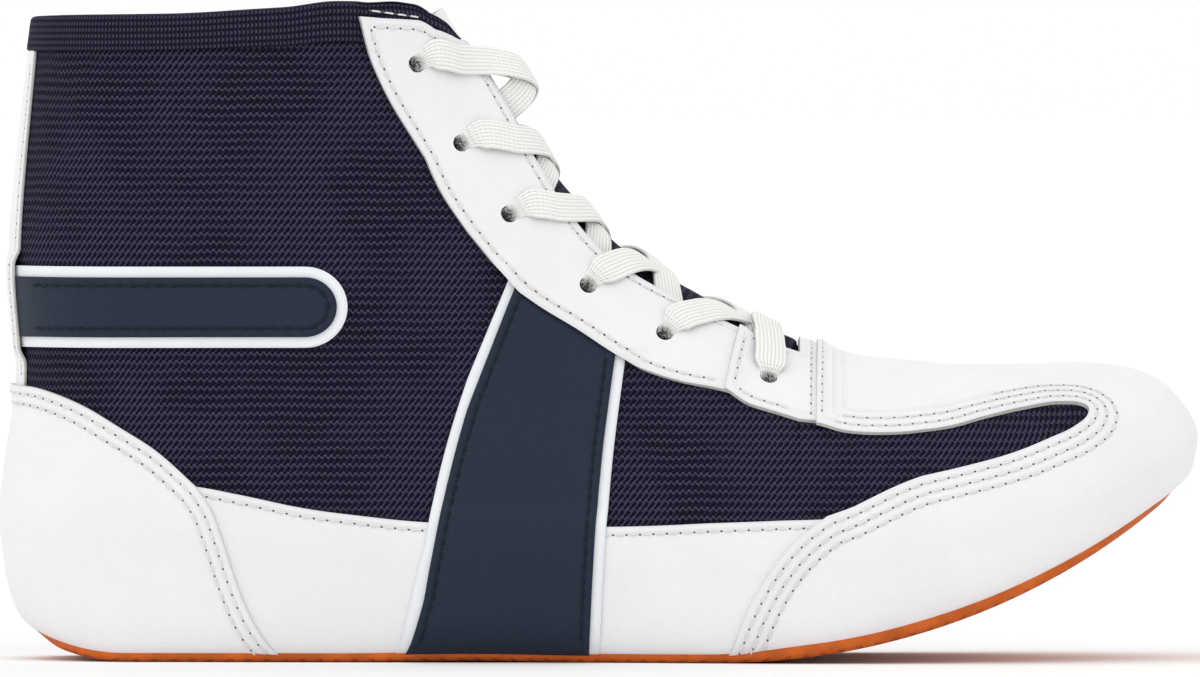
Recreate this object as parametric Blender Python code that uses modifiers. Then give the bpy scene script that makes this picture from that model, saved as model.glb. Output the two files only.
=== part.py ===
"""Kabaddi shoe, right foot: a mid-cut shoe of white leather and navy mesh on a thin gum sole.

The toe points along +X and the outer side faces -Y. Tables and outlines are in millimetres at the
pattern size: x runs forward from the back of the heel, z up from the floor, r out from the middle line.
The function place() grades them to the driving sizes, in metres about the middle of the shoe.

The upper is a loop of upright sections round the foot. A place on it is (q, v): q counts the stations
from the back of the heel (0) along the outer side to the toe (15) and back along the inner side (30),
and v rises from the feather edge at the sole (0) to the collar or the ridge of the instep (1).
"""
import math
from collections import namedtuple

import bmesh
import bpy
import numpy as np
from mathutils import Matrix, Vector

# Driving sizes, in millimetres
SHOE_LENGTH = 282.0
BALL_WIDTH = 98.0
COLLAR_HEIGHT = 150.0
WALL = 2.0
OVERLAY = 0.8
TRIM = 0.6
GAP = 0.4
LIFT = 0.6
SOLE_THICK = 2.4
SOLE_LIP = 1.3
INSOLE_THICK = 2.5
INSOLE_INSET = 3.4
TONGUE_THICK = 3.0
LACE_WIDTH = 7.6
LACE_THICK = 1.2
EYELET_RADIUS = 2.1
PIN_LENGTH = 12.0

# The size that the tables are drawn at
PATTERN_LENGTH = 282.0
PATTERN_WIDTH = 98.0
PATTERN_HEIGHT = 150.0

# Sole: round heel, flat tread, long toe spring and a lifted inner waist
HEEL_FLAT_X = 30.0
HEEL_RADIUS = 45.0
TOE_FLAT_X = 168.0
TOE_RADIUS = 168.0
ARCH_START_X = 78.0
ARCH_END_X = 142.0
ARCH_LIFT = 2.5
OUTER_ARCH_SHARE = 0.15

# Middle line: it swings to the inner side from the waist to the toe
SWING_START_X = 150.0
SWING_END_X = 252.0
SWING = 4.0
SPINE_SHIFT = -1.0

Section = namedtuple("Section", "base_x angle inner feather_r bulge_r bulge_z shoulder_r shoulder_z "
                                "ankle_r ankle_z top_r top_z closed")
SECTIONS = [
    Section(36, 180, 1.00, 28.0, 34.7, 29.0, 31.3, 66.0, 33.0, 96.0, 27.6, 150.0, 0.0),
    Section(36, 225, 1.00, 28.5, 34.0, 28.0, 30.6, 66.0, 31.5, 97.0, 28.4, 150.2, 0.0),
    Section(36, 270, 1.00, 29.5, 33.6, 27.0, 30.2, 66.0, 30.2, 98.0, 28.6, 150.4, 0.0),
    Section(60, 270, 0.98, 31.0, 34.6, 26.0, 31.2, 66.0, 30.4, 100.0, 29.6, 150.8, 0.0),
    Section(84, 270, 0.94, 32.2, 35.8, 25.0, 32.0, 65.0, 29.6, 104.0, 25.6, 151.0, 0.0),
    Section(100, 270, 0.91, 32.8, 36.6, 24.0, 32.6, 63.0, 27.6, 107.0, 16.0, 150.5, 0.3),
    Section(110, 270, 0.89, 33.0, 37.2, 23.5, 32.8, 62.0, 26.3, 106.0, 0.0, 148.0, 1.0),
    Section(122, 270, 0.87, 33.5, 37.8, 22.5, 33.2, 60.0, 24.5, 101.0, 0.0, 132.0, 1.0),
    Section(142, 270, 0.87, 35.5, 39.8, 21.5, 34.6, 56.0, 23.5, 87.0, 0.0, 104.0, 1.0),
    Section(162, 270, 0.90, 39.5, 43.5, 20.5, 37.5, 52.0, 24.0, 76.0, 0.0, 88.5, 1.0),
    Section(182, 270, 0.94, 43.5, 47.0, 20.5, 40.5, 49.5, 25.0, 67.0, 0.0, 77.0, 1.0),
    Section(200, 270, 0.96, 45.5, 49.0, 22.0, 42.5, 48.0, 26.5, 63.0, 0.0, 70.6, 1.0),
    Section(216, 270, 0.97, 45.0, 48.5, 26.5, 41.0, 49.0, 26.0, 62.5, 0.0, 68.7, 1.0),
    Section(232, 297, 0.98, 41.5, 44.9, 35.5, 37.5, 53.0, 24.0, 63.5, 0.0, 68.0, 1.0),
    Section(244, 325, 0.99, 32.0, 36.5, 47.0, 31.0, 58.0, 20.5, 65.0, 0.0, 68.2, 1.0),
    Section(252, 360, 1.00, 23.1, 28.2, 50.5, 24.0, 60.5, 16.0, 66.3, 0.0, 68.4, 1.0),
]
HALF = len(SECTIONS) - 1
LOOP = 2 * HALF
PROFILE_KNOTS = np.array([-0.14, 0.0, 0.18, 0.44, 0.70, 1.0, 1.3])
TURN_IN = 16.0

# Throat: half its width at places along the instep, squared off at its front end
THROAT_X = (103.5, 140.0, 175.0, 186.5)
THROAT_HALF = (13.5, 12.5, 11.0, 9.5)
THROAT_END_X = 188.0
THROAT_INSET = 0.6

# Overlay outlines on the outer side, as (x, z) seen from that side
COUNTER_FRONT = [(66.0, 2.7), (59.4, 11.2), (55.7, 20.2), (53.1, 28.2), (50.3, 35.5), (46.8, 40.9)]
COUNTER_TOP = [(46.8, 40.9), (37.8, 48.9), (29.6, 54.3), (20.7, 59.7), (11.7, 63.3)]
COUNTER_BACK_Z = 64.7
FOXING_TOP = [(47.6, 40.9), (56.6, 39.2), (79.1, 35.0), (117.0, 32.3), (141.0, 31.8), (168.0, 32.7),
              (193.4, 33.6)]
TOE_BACK = [(171.0, 2.7), (174.3, 9.4), (177.9, 16.5), (183.3, 24.7), (188.7, 30.1), (194.1, 34.1)]
INLAY_LOWER = [(194.1, 34.1), (207.5, 40.0), (227.2, 45.8), (238.0, 48.5), (247.1, 51.7), (253.3, 55.7),
               (255.2, 58.4)]
INLAY_UPPER = [(192.4, 54.7), (204.0, 53.2), (213.0, 53.4), (222.0, 54.5), (231.0, 56.6), (240.0, 58.4),
               (248.9, 59.5), (255.2, 58.4)]
FACING_LOWER = [(169.9, 63.1), (175.2, 60.2), (182.4, 57.9), (187.5, 56.3)]
FACING_FRONT_X = 191.8
FACING_FRONT_Z = 54.8
FACING_SLOT_X = 172.9
EYESTAY_EDGE = [(83.9, 150.6), (86.2, 143.4), (94.5, 126.3), (103.4, 110.2), (112.3, 97.5), (125.0, 84.1),
                (136.1, 77.1), (151.8, 67.9), (160.0, 65.3), (169.2, 63.4)]
EYESTAY_SLOT_X = (102.6, 172.3)
EYELETS = [(97.6, 139.6), (108.0, 120.9), (119.4, 104.3), (137.9, 87.7), (155.9, 76.4), (180.2, 65.8)]
SADDLE_TOP = [(119.4, 88.8), (125.0, 83.4), (136.1, 76.4), (146.8, 70.0)]
SADDLE_REAR = [(93.0, 2.9), (102.5, 40.0), (119.4, 88.8)]
SADDLE_FRONT = [(141.0, 2.9), (143.0, 36.0), (146.8, 70.0)]
ANKLE_LOW_Z = 73.5
ANKLE_HIGH_Z = 92.5
ANKLE_STRAIGHT_X = 72.0
ANKLE_TIP_X = 82.0
BORDER = 2.5

# Edges of the overlays on the form, and how their rows crowd towards the sole
CROWD = 1.4
UPPER_ROWS = (0.0, 0.05, 0.12, 0.20, 0.30, 0.40, 0.50, 0.60, 0.70, 0.80, 0.90, 1.0)
SEAM = 0.6
STRIP_SEAM_Q = 0.03
FOXING_CLEAR_Z = 43.0
FOXING_RAMP = 12.0
HEM_V = 0.02
TOE_HEM_V = 0.03
TOE_HEM_Q = 10.0
SADDLE_HEM_V = 0.06
RIM_V = 0.995
STRIP_HALF_Q = 0.44
STRIP_LOW_Z = 65.6
STRIP_HIGH_Z = 141.8
BINDING_HEIGHT = 7.4
BINDING_END_X = 83.2

# Tongue: a strip under the throat that rises past the collar
TONGUE_X = (192.0, 180.0, 168.0, 156.0, 146.0, 136.0, 127.0, 119.0, 113.0)
TONGUE_RISE = 15.0
TONGUE_DROP = 2.9
TONGUE_RADIUS = 18.5
TONGUE_TOP_RADIUS = 12.5
TONGUE_HALF_TURN = 1.3

# Laces: how far a strand stands over the form, and how far down the throat it crosses and dives, as
# shares of the way to the next eyelet
LACE_ON_LEATHER = 2.8
LACE_AT_RIDGE = 1.4
LACE_AT_DIVE = 0.2
LACE_EDGE_SHARE = 0.12
LACE_EDGE_MARGIN = 2.0
LACE_CROSS_SHARE = 0.45
LACE_DIVE_SHARE = 0.80
LACE_DIVE_INSET = 4.2
LACE_LAP = 0.5
TOP_LOOP_STAND = 6.0
RIDGE_START_X = 110.0
RIDGE_END_X = 200.0

MM = 0.001
WELD = 0.0002

# Steps of the searches over the form
TINY = 0.01
LARGEST_MOVE = 0.08
LOCATE_ROUNDS = 8
HALVINGS = 22
DEEPEST_LACE = 40.0


def curve(knots, rows, at):
    """Points of a smooth curve through rows, one a knot; rows may hold a curve of its own for each place."""
    knots = np.asarray(knots, float)
    rows = np.asarray(rows, float)
    at = np.asarray(at, float)
    step = np.diff(knots).reshape([-1] + [1] * (rows.ndim - 1))
    chord = np.diff(rows, axis=0) / step
    middle = (chord[:-1] * step[1:] + chord[1:] * step[:-1]) / (step[:-1] + step[1:])
    slope = np.concatenate([chord[:1], middle, chord[-1:]])
    i = np.clip(np.searchsorted(knots, at, side="right") - 1, 0, len(knots) - 2)
    here = (i,) if rows.ndim == 2 else (i, np.arange(len(at)))
    there = (i + 1,) + here[1:]
    span = (knots[i + 1] - knots[i])[:, None]
    t = (at - knots[i])[:, None] / span
    a, b = rows[here], rows[there]
    m, n = slope[here] * span, slope[there] * span
    return a + t * (m + t * (3 * (b - a) - 2 * m - n + t * (2 * (a - b) + m + n)))


def smoothstep(value):
    value = np.clip(value, 0.0, 1.0)
    return value * value * (3 - 2 * value)


def sole_rise(x):
    """Height of the tread over the floor: round at the heel, sprung at the toe."""
    back = np.clip(HEEL_FLAT_X - x, 0.0, None)
    front = np.clip(x - TOE_FLAT_X, 0.0, None)
    return (HEEL_RADIUS - np.sqrt(HEEL_RADIUS ** 2 - back ** 2)
            + TOE_RADIUS - np.sqrt(TOE_RADIUS ** 2 - front ** 2))


def arch_lift(x):
    """Lift of the inner waist."""
    share = np.clip((x - ARCH_START_X) / (ARCH_END_X - ARCH_START_X), 0.0, 1.0)
    return ARCH_LIFT * np.sin(math.pi * share) ** 2


def spine_y(x):
    return SPINE_SHIFT + SWING * smoothstep((x - SWING_START_X) / (SWING_END_X - SWING_START_X))


def loop_row(k):
    """A station of the closed loop round the shoe; the inner side is slimmed by its own share."""
    turn, k = divmod(k, LOOP)
    inner_side = k > HALF
    row = SECTIONS[LOOP - k if inner_side else k]
    slim = row.inner if inner_side else 1.0
    angle = 720 - row.angle if inner_side else row.angle
    return row._replace(angle=angle + 360 * turn, feather_r=row.feather_r * slim, bulge_r=row.bulge_r * slim,
                        shoulder_r=row.shoulder_r * (1 + slim) / 2)


def run_lengths(points):
    """Distance of each point along the line through them."""
    return np.concatenate([[0.0], np.cumsum(np.linalg.norm(np.diff(points, axis=0), axis=1))])


def loop_knots(rows):
    """Distance round the shoe of each station, along its widest line."""
    table = Section(*rows.T)
    turn = np.radians(table.angle)
    return run_lengths(np.stack([table.base_x + table.bulge_r * np.cos(turn),
                                 table.bulge_r * np.sin(turn)], axis=-1))


LOOP_PLACE = np.arange(-8, LOOP + 9)
LOOP_ROWS = np.array([loop_row(k) for k in LOOP_PLACE], float)
LOOP_KNOTS = loop_knots(LOOP_ROWS)


def station(q):
    """The section columns at places q round the loop."""
    return Section(*curve(LOOP_KNOTS, LOOP_ROWS, np.interp(q, LOOP_PLACE, LOOP_KNOTS)).T)


def profile(s, v):
    """(r, z) on the sections s at heights v."""
    turn = np.radians(s.angle)
    feather_x = s.base_x + s.feather_r * np.cos(turn)
    arch_share = np.where(np.sin(turn) > 0, 1.0, OUTER_ARCH_SHARE)
    feather_z = SOLE_THICK + GAP + sole_rise(feather_x) + arch_lift(feather_x) * arch_share
    past_r = (2 * s.top_r - s.ankle_r) * (1 - s.closed) - s.ankle_r * s.closed
    past_z = (2 * s.top_z - s.ankle_z) * (1 - s.closed) + s.ankle_z * s.closed
    reach = [s.feather_r - TURN_IN, s.feather_r, s.bulge_r, s.shoulder_r, s.ankle_r, s.top_r, past_r]
    height = [feather_z, feather_z, s.bulge_z, s.shoulder_z, s.ankle_z, s.top_z, past_z]
    return curve(PROFILE_KNOTS, np.stack([reach, height], axis=-1), v).T


def form(q, v):
    """Points of the upper's outer face at places (q, v)."""
    q, v = np.broadcast_arrays(np.asarray(q, float), np.asarray(v, float))
    s = station(q.ravel())
    r, z = profile(s, v.ravel())
    turn = np.radians(s.angle)
    points = np.stack([s.base_x + r * np.cos(turn), spine_y(s.base_x) + r * np.sin(turn), z], axis=-1)
    return points.reshape(q.shape + (3,))


def form_normal(q, v):
    """Outward normals of the form; the ridge's end, where the sections meet, takes its neighbour's."""
    v = np.minimum(v, RIM_V)
    along = form(q + TINY, v) - form(q - TINY, v)
    up = form(q, v + TINY / 2) - form(q, v - TINY / 2)
    normal = np.cross(along, up)
    return normal / np.linalg.norm(normal, axis=-1, keepdims=True)


def draped(places, lift):
    """Points at a height over the form."""
    q, v = places[..., 0], places[..., 1]
    return form(q, v) + form_normal(q, v) * np.asarray(lift)[..., None]


SCAN_Q = np.linspace(2.0, HALF, 400)
SCAN_X = station(SCAN_Q).base_x


def q_at(x):
    """Place round the outer side of the section that stands at x."""
    return np.interp(x, SCAN_X, SCAN_Q)


def v_where(q, column, target, low, high):
    """Height on the sections at q where r (column 0) falls, or z (column 1) rises, to the target."""
    q, target = np.broadcast_arrays(np.atleast_1d(np.asarray(q, float)), np.asarray(target, float))
    s = station(q)
    low = np.full(q.shape, low)
    high = np.full(q.shape, high)
    for _ in range(HALVINGS):
        middle = (low + high) / 2
        value = profile(s, middle)[column]
        below = value > target if column == 0 else value < target
        low = np.where(below, middle, low)
        high = np.where(below, high, middle)
    return (low + high) / 2


def v_at_height(q, z):
    return v_where(q, 1, z, 0.0, 1.0)


def v_at_reach(q, r):
    return v_where(q, 0, r, 0.5, 1.0)


GRID_Q, GRID_V = (axis.ravel() for axis in np.meshgrid(np.linspace(0, HALF, 241), np.linspace(0, 1, 61)))
GRID_XZ = form(GRID_Q, GRID_V)[:, [0, 2]]


def locate(points):
    """Places (q, v) on the outer side that are seen at the points (x, z)."""
    points = np.asarray(points, float)
    nearest = ((points[:, None] - GRID_XZ) ** 2).sum(-1).argmin(1)
    q, v = GRID_Q[nearest], GRID_V[nearest]
    for _ in range(LOCATE_ROUNDS):
        here = form(q, v)[:, [0, 2]]
        along = (form(q + TINY, v)[:, [0, 2]] - here) / TINY
        up = (form(q, v + TINY)[:, [0, 2]] - here) / TINY
        miss = points - here
        area = along[:, 0] * up[:, 1] - along[:, 1] * up[:, 0]
        move_q = (miss[:, 0] * up[:, 1] - miss[:, 1] * up[:, 0]) / area
        move_v = (along[:, 0] * miss[:, 1] - along[:, 1] * miss[:, 0]) / area
        q = q + np.clip(move_q, -LARGEST_MOVE, LARGEST_MOVE)
        v = np.clip(v + np.clip(move_v, -LARGEST_MOVE, LARGEST_MOVE), 0, 1)
    return np.stack([q, v], axis=-1)


def even(count):
    return np.linspace(0, 1, count)


def through(guides, shares, trim=0.0):
    """A smooth edge through guide places, read at shares of its length, cut short by trim at both ends."""
    knots = run_lengths(form(guides[:, 0], guides[:, 1]))
    return curve(knots, guides, trim + np.asarray(shares) * (knots[-1] - 2 * trim))


def edge(points, shares, shift_x=0.0, trim=0.0):
    """A smooth edge through points (x, z) of the outer side."""
    return through(locate(np.asarray(points, float) + (shift_x, 0.0)), shares, trim)


def level(q_start, q_end, v, count):
    """An edge at one height v."""
    return np.stack([np.linspace(q_start, q_end, count), np.full(count, v)], axis=-1)


def hem(q_start, q_end, count):
    """An edge just over the sole; it keeps further from the sole where the toe springs."""
    q = np.linspace(q_start, q_end, count)
    return np.stack([q, HEM_V + TOE_HEM_V * smoothstep((q - TOE_HEM_Q) / (HALF - TOE_HEM_Q))], axis=-1)


def patch(low, high, shares, start=None, end=None):
    """A grid of places at shares of the way between two edges, with straight ends unless others are given."""
    u = even(len(low))[:, None, None]
    w = np.asarray(shares)[None, :, None]
    grid = low[:, None] * (1 - w) + high[:, None] * w
    if start is not None:
        grid = grid + (1 - u) * (start[None] - grid[:1])
    if end is not None:
        grid = grid + u * (end[None] - grid[-1:])
    return grid


def mirrored(places):
    """The same grid on the inner side."""
    return np.stack([LOOP - places[::-1, :, 0], places[::-1, :, 1]], axis=-1)


def throat_half(x):
    return np.interp(x, THROAT_X, THROAT_HALF)


def throat_edge(x_values, inset):
    """Places along the throat's edge, an inset away from it."""
    q = q_at(np.asarray(x_values, float))
    return np.stack([q, v_at_reach(q, throat_half(x_values) + inset)], axis=-1)


def place(points):
    """Pattern millimetres to metres at the driving sizes."""
    built = np.array([SHOE_LENGTH, BALL_WIDTH, COLLAR_HEIGHT])
    grade = built / (PATTERN_LENGTH, PATTERN_WIDTH, PATTERN_HEIGHT)
    return (points - (PATTERN_LENGTH / 2, 0.0, 0.0)) * grade * MM


def remove_old_objects():
    for old in list(bpy.data.objects):
        bpy.data.objects.remove(old, do_unlink=True)


def new_collection(name):
    collection = bpy.data.collections.new(name)
    bpy.context.scene.collection.children.link(collection)
    return collection


def new_material(name, srgb, roughness):
    """A plain finish; the colour is given as sRGB bytes."""
    share = np.array(srgb) / 255
    linear = np.where(share <= 0.04045, share / 12.92, ((share + 0.055) / 1.055) ** 2.4)
    material = bpy.data.materials.new(name)
    material.use_nodes = True
    shader = material.node_tree.nodes["Principled BSDF"]
    shader.inputs["Base Color"].default_value = (*linear, 1.0)
    shader.inputs["Roughness"].default_value = roughness
    shader.inputs["Metallic"].default_value = 0.0
    return material


def add_grid(mesh, points):
    """A grid of faces with its corners at the points, columns by rows."""
    columns, rows = points.shape[:2]
    made = bmesh.ops.create_grid(mesh, x_segments=columns - 1, y_segments=rows - 1, size=0.5)
    spots = place(points)
    for vert in made["verts"]:
        i = round((vert.co.x + 0.5) * (columns - 1))
        j = round((vert.co.y + 0.5) * (rows - 1))
        vert.co = spots[i, j]


def new_object(name, mesh, collection, material=None):
    data = bpy.data.meshes.new(name)
    mesh.to_mesh(data)
    mesh.free()
    obj = bpy.data.objects.new(name, data)
    collection.objects.link(obj)
    if material:
        data.materials.append(material)
    return obj


def shell(name, grids, thickness, offset, collection, material=None):
    """A closed solid: grids welded where their edges meet, thickened out (1), in (-1) or both ways (0)."""
    mesh = bmesh.new()
    for points in grids:
        add_grid(mesh, points)
    bmesh.ops.remove_doubles(mesh, verts=mesh.verts, dist=WELD)
    obj = new_object(name, mesh, collection, material)
    thicken = obj.modifiers.new("Thickness", "SOLIDIFY")
    thicken.thickness = thickness * MM
    thicken.offset = offset
    split = obj.modifiers.new("Triangles", "TRIANGULATE")
    split.quad_method = "BEAUTY"
    return obj


def hide_tool(obj):
    obj.hide_render = True
    obj.display_type = "WIRE"


def combine(obj, tool, operation):
    modifier = obj.modifiers.new(tool.name, "BOOLEAN")
    modifier.operation = operation
    modifier.object = tool


def sole_edge(q, margin):
    """Plan points of the feather line, a margin outside it."""
    s = station(q)
    turn = np.radians(s.angle)
    r = s.feather_r + margin
    return np.stack([s.base_x + r * np.cos(turn), spine_y(s.base_x) + r * np.sin(turn)], axis=-1)


def sole_grid(columns, rows, margin, height):
    """A grid across the sole from the outer to the inner feather line, a height over the tread."""
    q = np.linspace(0, HALF, columns)
    outer = sole_edge(q, margin)
    inner = sole_edge(LOOP - q, margin)
    share = even(rows)[None, :, None]
    plan = outer[:, None] * (1 - share) + inner[:, None] * share
    x = plan[..., 0]
    arch = arch_lift(x) * (OUTER_ARCH_SHARE + (1 - OUTER_ARCH_SHARE) * share[..., 0])
    return np.concatenate([plan, (sole_rise(x) + arch + height)[..., None]], axis=-1)


def make_sole(parts, gum, lining):
    shell("outsole", [sole_grid(37, 4, SOLE_LIP, SOLE_THICK)], SOLE_THICK, -1, parts, gum)
    shell("insole", [sole_grid(31, 3, -INSOLE_INSET, SOLE_THICK + GAP)], INSOLE_THICK, 1, parts, lining)


def make_upper(parts, mesh_cloth):
    """The hollow wall, open at the sole, collar and throat."""
    heel = np.linspace(0, q_at(THROAT_X[0]), 16)[:-1]
    throat = q_at(THROAT_X[0] + (THROAT_X[-1] - THROAT_X[0]) * even(10) ** CROWD)
    vamp = np.concatenate([[q_at(THROAT_END_X)], np.linspace(q_at(197.0), HALF, 12)])
    q = np.concatenate([heel, throat, vamp])
    top = np.ones(len(q))
    slot = slice(len(heel), len(heel) + len(throat))
    top[slot] = v_at_reach(throat, throat_half(station(throat).base_x))
    side = patch(np.stack([q, np.zeros(len(q))], axis=-1), np.stack([q, top], axis=-1), UPPER_ROWS)
    grids = [draped(half, np.zeros(half.shape[:2])) for half in (side, mirrored(side))]
    return shell("upper", grids, WALL, -1, parts, mesh_cloth)


def overlay(name, halves, lift, thickness, parts, material):
    grids = [draped(half, np.full(half.shape[:2], lift)) for half in halves]
    return shell(name, grids, thickness, 1, parts, material)


def both_sides(name, places, lift, thickness, parts, material):
    """An overlay's outer and inner copies; lift is a height or a function of the places."""
    made = []
    for side, half in (("outer", places), ("inner", mirrored(places))):
        height = lift(half) if callable(lift) else np.full(half.shape[:2], lift)
        made.append(shell(f"{name}_{side}", [draped(half, height)], thickness, 1, parts, material))
    return made


def make_toe_cap(parts, leather):
    """Toe cap: it runs under and over the pointed inlay and joins in front of the inlay's tip."""
    along, across = even(9), 7
    rows = even(5) ** CROWD
    lower_edge = edge(INLAY_LOWER, along)
    upper_edge = edge(INLAY_UPPER, along)
    upper_edge[-1] = lower_edge[-1]
    tip_q, tip_v = lower_edge[-1]
    nose = level(tip_q, HALF, tip_v, across)[1:]
    back = edge(TOE_BACK, rows)
    back[0, 1] = HEM_V
    lower_top = np.concatenate([lower_edge, nose])
    upper_low = np.concatenate([upper_edge, nose])
    lower = patch(hem(back[0, 0], HALF, len(lower_top)), lower_top, rows, start=back)
    upper = patch(upper_low, level(upper_edge[0, 0], HALF, 1.0, len(upper_low)), even(5))
    overlay("toe_cap", [lower, mirrored(lower), upper, mirrored(upper)], LIFT, OVERLAY, parts, leather)


def make_facing(parts, leather):
    """Throat facing: it frames the front end of the throat."""
    lower = edge(FACING_LOWER, even(4))
    front = locate([(FACING_FRONT_X, FACING_FRONT_Z)])
    slot = throat_edge(np.linspace(FACING_SLOT_X, FACING_LOWER[-1][0], 4), THROAT_INSET)
    nose_low = np.concatenate([lower[-1:], front])
    nose_slot = np.array([slot[-1], [front[0, 0], slot[-1, 1]]])
    ridge = np.stack([nose_slot[:, 0], np.ones(2)], axis=-1)
    cheek = patch(lower, slot, even(4))
    nose = patch(nose_low, nose_slot, even(4))
    bridge = patch(nose_slot, ridge, even(3))
    halves = [cheek, nose, bridge, mirrored(cheek), mirrored(nose), mirrored(bridge)]
    return overlay("throat_facing", halves, LIFT, OVERLAY, parts, leather)


def make_eyestays(parts, leather):
    shares = even(17)
    slot = throat_edge(np.linspace(*EYESTAY_SLOT_X, len(shares)), THROAT_INSET)
    places = patch(edge(EYESTAY_EDGE, shares), slot, even(4))
    return both_sides("eyestay", places, LIFT, OVERLAY, parts, leather)


def make_foxing(parts, leather):
    rows = even(5) ** CROWD
    rear = edge(COUNTER_FRONT, rows, shift_x=SEAM)
    front = edge(TOE_BACK, rows, shift_x=-SEAM)
    top = edge(FOXING_TOP, even(13))
    rear[0, 1] = front[0, 1] = HEM_V
    rear[-1], front[-1] = top[0], top[-1]
    low = hem(rear[0, 0], front[0, 0], len(top))
    both_sides("foxing", patch(low, top, rows, start=rear, end=front), LIFT, OVERLAY, parts, leather)


def make_counter(parts, leather):
    rows = even(6) ** CROWD
    front = edge(COUNTER_FRONT, rows)
    front[0, 1] = HEM_V
    back = np.array([[0.0, v_at_height(0.0, COUNTER_BACK_Z)[0]]])
    top = through(np.concatenate([back, locate(COUNTER_TOP)[::-1]]), even(11))
    half = patch(hem(0.0, front[0, 0], len(top)), top, rows, end=front)
    overlay("heel_counter", [half, mirrored(half) - (LOOP, 0)], LIFT, OVERLAY, parts, leather)


def make_back_strip(parts, leather):
    q = np.linspace(-STRIP_HALF_Q, STRIP_HALF_Q, 5)
    low = np.stack([q, v_at_height(q, STRIP_LOW_Z)], axis=-1)
    high = np.stack([q, v_at_height(q, STRIP_HIGH_Z)], axis=-1)
    overlay("back_strip", [patch(low, high, even(7))], LIFT, OVERLAY, parts, leather)


def make_binding(parts, ribbed):
    """Collar binding: a strip folded over the rim from one eyestay round the back to the other."""
    end_q = q_at(BINDING_END_X)
    q = np.linspace(-end_q, end_q, 29)
    low = v_at_height(q, station(q).top_z - BINDING_HEIGHT)
    rim = np.ones(len(q))
    inside = -WALL - LIFT - GAP
    rows = []
    for v, lift, rise in ((low, LIFT, 0.0), (rim, LIFT, GAP), (rim, inside, GAP), (low, inside, 0.0)):
        rows.append(draped(np.stack([q, v], axis=-1), np.full(len(q), lift)) + (0.0, 0.0, rise))
    shell("collar_binding", [np.stack(rows, axis=1)], OVERLAY, 1, parts, ribbed)


def over_foxing(lift):
    """A lift that climbs from the cloth onto the foxing below it."""
    def height(places):
        z = form(places[..., 0], places[..., 1])[..., 2]
        return lift + (OVERLAY + LIFT) * (1 - smoothstep((z - FOXING_CLEAR_Z) / FOXING_RAMP))
    return height


def make_saddles(parts, backing, navy):
    """A broad panel over each side of the waist: navy leather on a wider white backing."""
    rows = even(8)
    for name, inset, lift, material in (("saddle_backing", 0.0, LIFT, backing),
                                        ("saddle", BORDER, LIFT + TRIM + GAP, navy)):
        rear = edge(SADDLE_REAR, rows, shift_x=inset)
        front = edge(SADDLE_FRONT, rows, shift_x=-inset)
        top = edge(SADDLE_TOP, even(6), trim=inset)
        rear[0, 1] = front[0, 1] = SADDLE_HEM_V
        rear[-1], front[-1] = top[0], top[-1]
        low = level(rear[0, 0], front[0, 0], SADDLE_HEM_V, len(top))
        places = patch(low, top, rows, start=rear, end=front)
        both_sides(name, places, over_foxing(lift), TRIM, parts, material)


def make_ankle_bands(parts, backing, navy):
    """A level band from the back strip round each side of the ankle, with a round tip."""
    turn = np.linspace(-math.pi / 2, math.pi / 2, 5)
    for name, inset, lift, material in (("ankle_backing", 0.0, LIFT, backing),
                                        ("ankle_band", BORDER, LIFT + TRIM + GAP, navy)):
        low_z, high_z = ANKLE_LOW_Z + inset, ANKLE_HIGH_Z - inset
        reach = ANKLE_TIP_X - inset - ANKLE_STRAIGHT_X
        tip = locate(np.stack([ANKLE_STRAIGHT_X + reach * np.cos(turn),
                               (low_z + high_z) / 2 + (high_z - low_z) / 2 * np.sin(turn)], axis=-1))
        q = np.linspace(STRIP_HALF_Q + STRIP_SEAM_Q, tip[0, 0], 12)
        low = np.stack([q, v_at_height(q, low_z)], axis=-1)
        high = np.stack([q, v_at_height(q, high_z)], axis=-1)
        low[-1], high[-1] = tip[0], tip[-1]
        both_sides(name, patch(low, high, even(5), end=tip), lift, TRIM, parts, material)


def make_tongue(parts, mesh_cloth):
    """Tongue: round in section, hung under the ridge line of the throat."""
    ridge = form(q_at(np.array(TONGUE_X)), 1.0)[:, [0, 2]]
    run = ridge[-1] - ridge[-2]
    ridge = np.concatenate([ridge, [ridge[-1] + run * TONGUE_RISE / np.linalg.norm(run)]])
    ahead = np.gradient(ridge, axis=0)
    ahead /= np.linalg.norm(ahead, axis=1, keepdims=True)
    inward = np.stack([-ahead[:, 1], ahead[:, 0]], axis=-1)
    radius = TONGUE_RADIUS + (TONGUE_TOP_RADIUS - TONGUE_RADIUS) * smoothstep(even(len(ridge)))[:, None]
    turn = TONGUE_HALF_TURN * np.linspace(1, -1, 7)[None]
    drop = TONGUE_DROP + radius * (1 - np.cos(turn))
    side_view = ridge[:, None] + inward[:, None] * drop[..., None]
    y = spine_y(ridge[:, :1]) + radius * np.sin(turn)
    points = np.stack([side_view[..., 0], y, side_view[..., 1]], axis=-1)
    shell("tongue", [points], TONGUE_THICK, -1, parts, mesh_cloth)


def make_eyelet_cutter(cutters):
    """One tool with a pin through each eyelet of both sides."""
    mesh = bmesh.new()
    outer = locate(EYELETS)
    for places in (outer, np.stack([LOOP - outer[:, 0], outer[:, 1]], axis=-1)):
        spots = place(form(places[:, 0], places[:, 1]))
        for spot, normal in zip(spots, form_normal(places[:, 0], places[:, 1])):
            turn = Vector(normal).to_track_quat("Z", "Y").to_matrix().to_4x4()
            bmesh.ops.create_cone(mesh, cap_ends=True, segments=8, radius1=EYELET_RADIUS * MM,
                                  radius2=EYELET_RADIUS * MM, depth=PIN_LENGTH * MM,
                                  matrix=Matrix.Translation(Vector(spot)) @ turn)
    tool = new_object("eyelet_pins", mesh, cutters)
    hide_tool(tool)
    return tool


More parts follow.
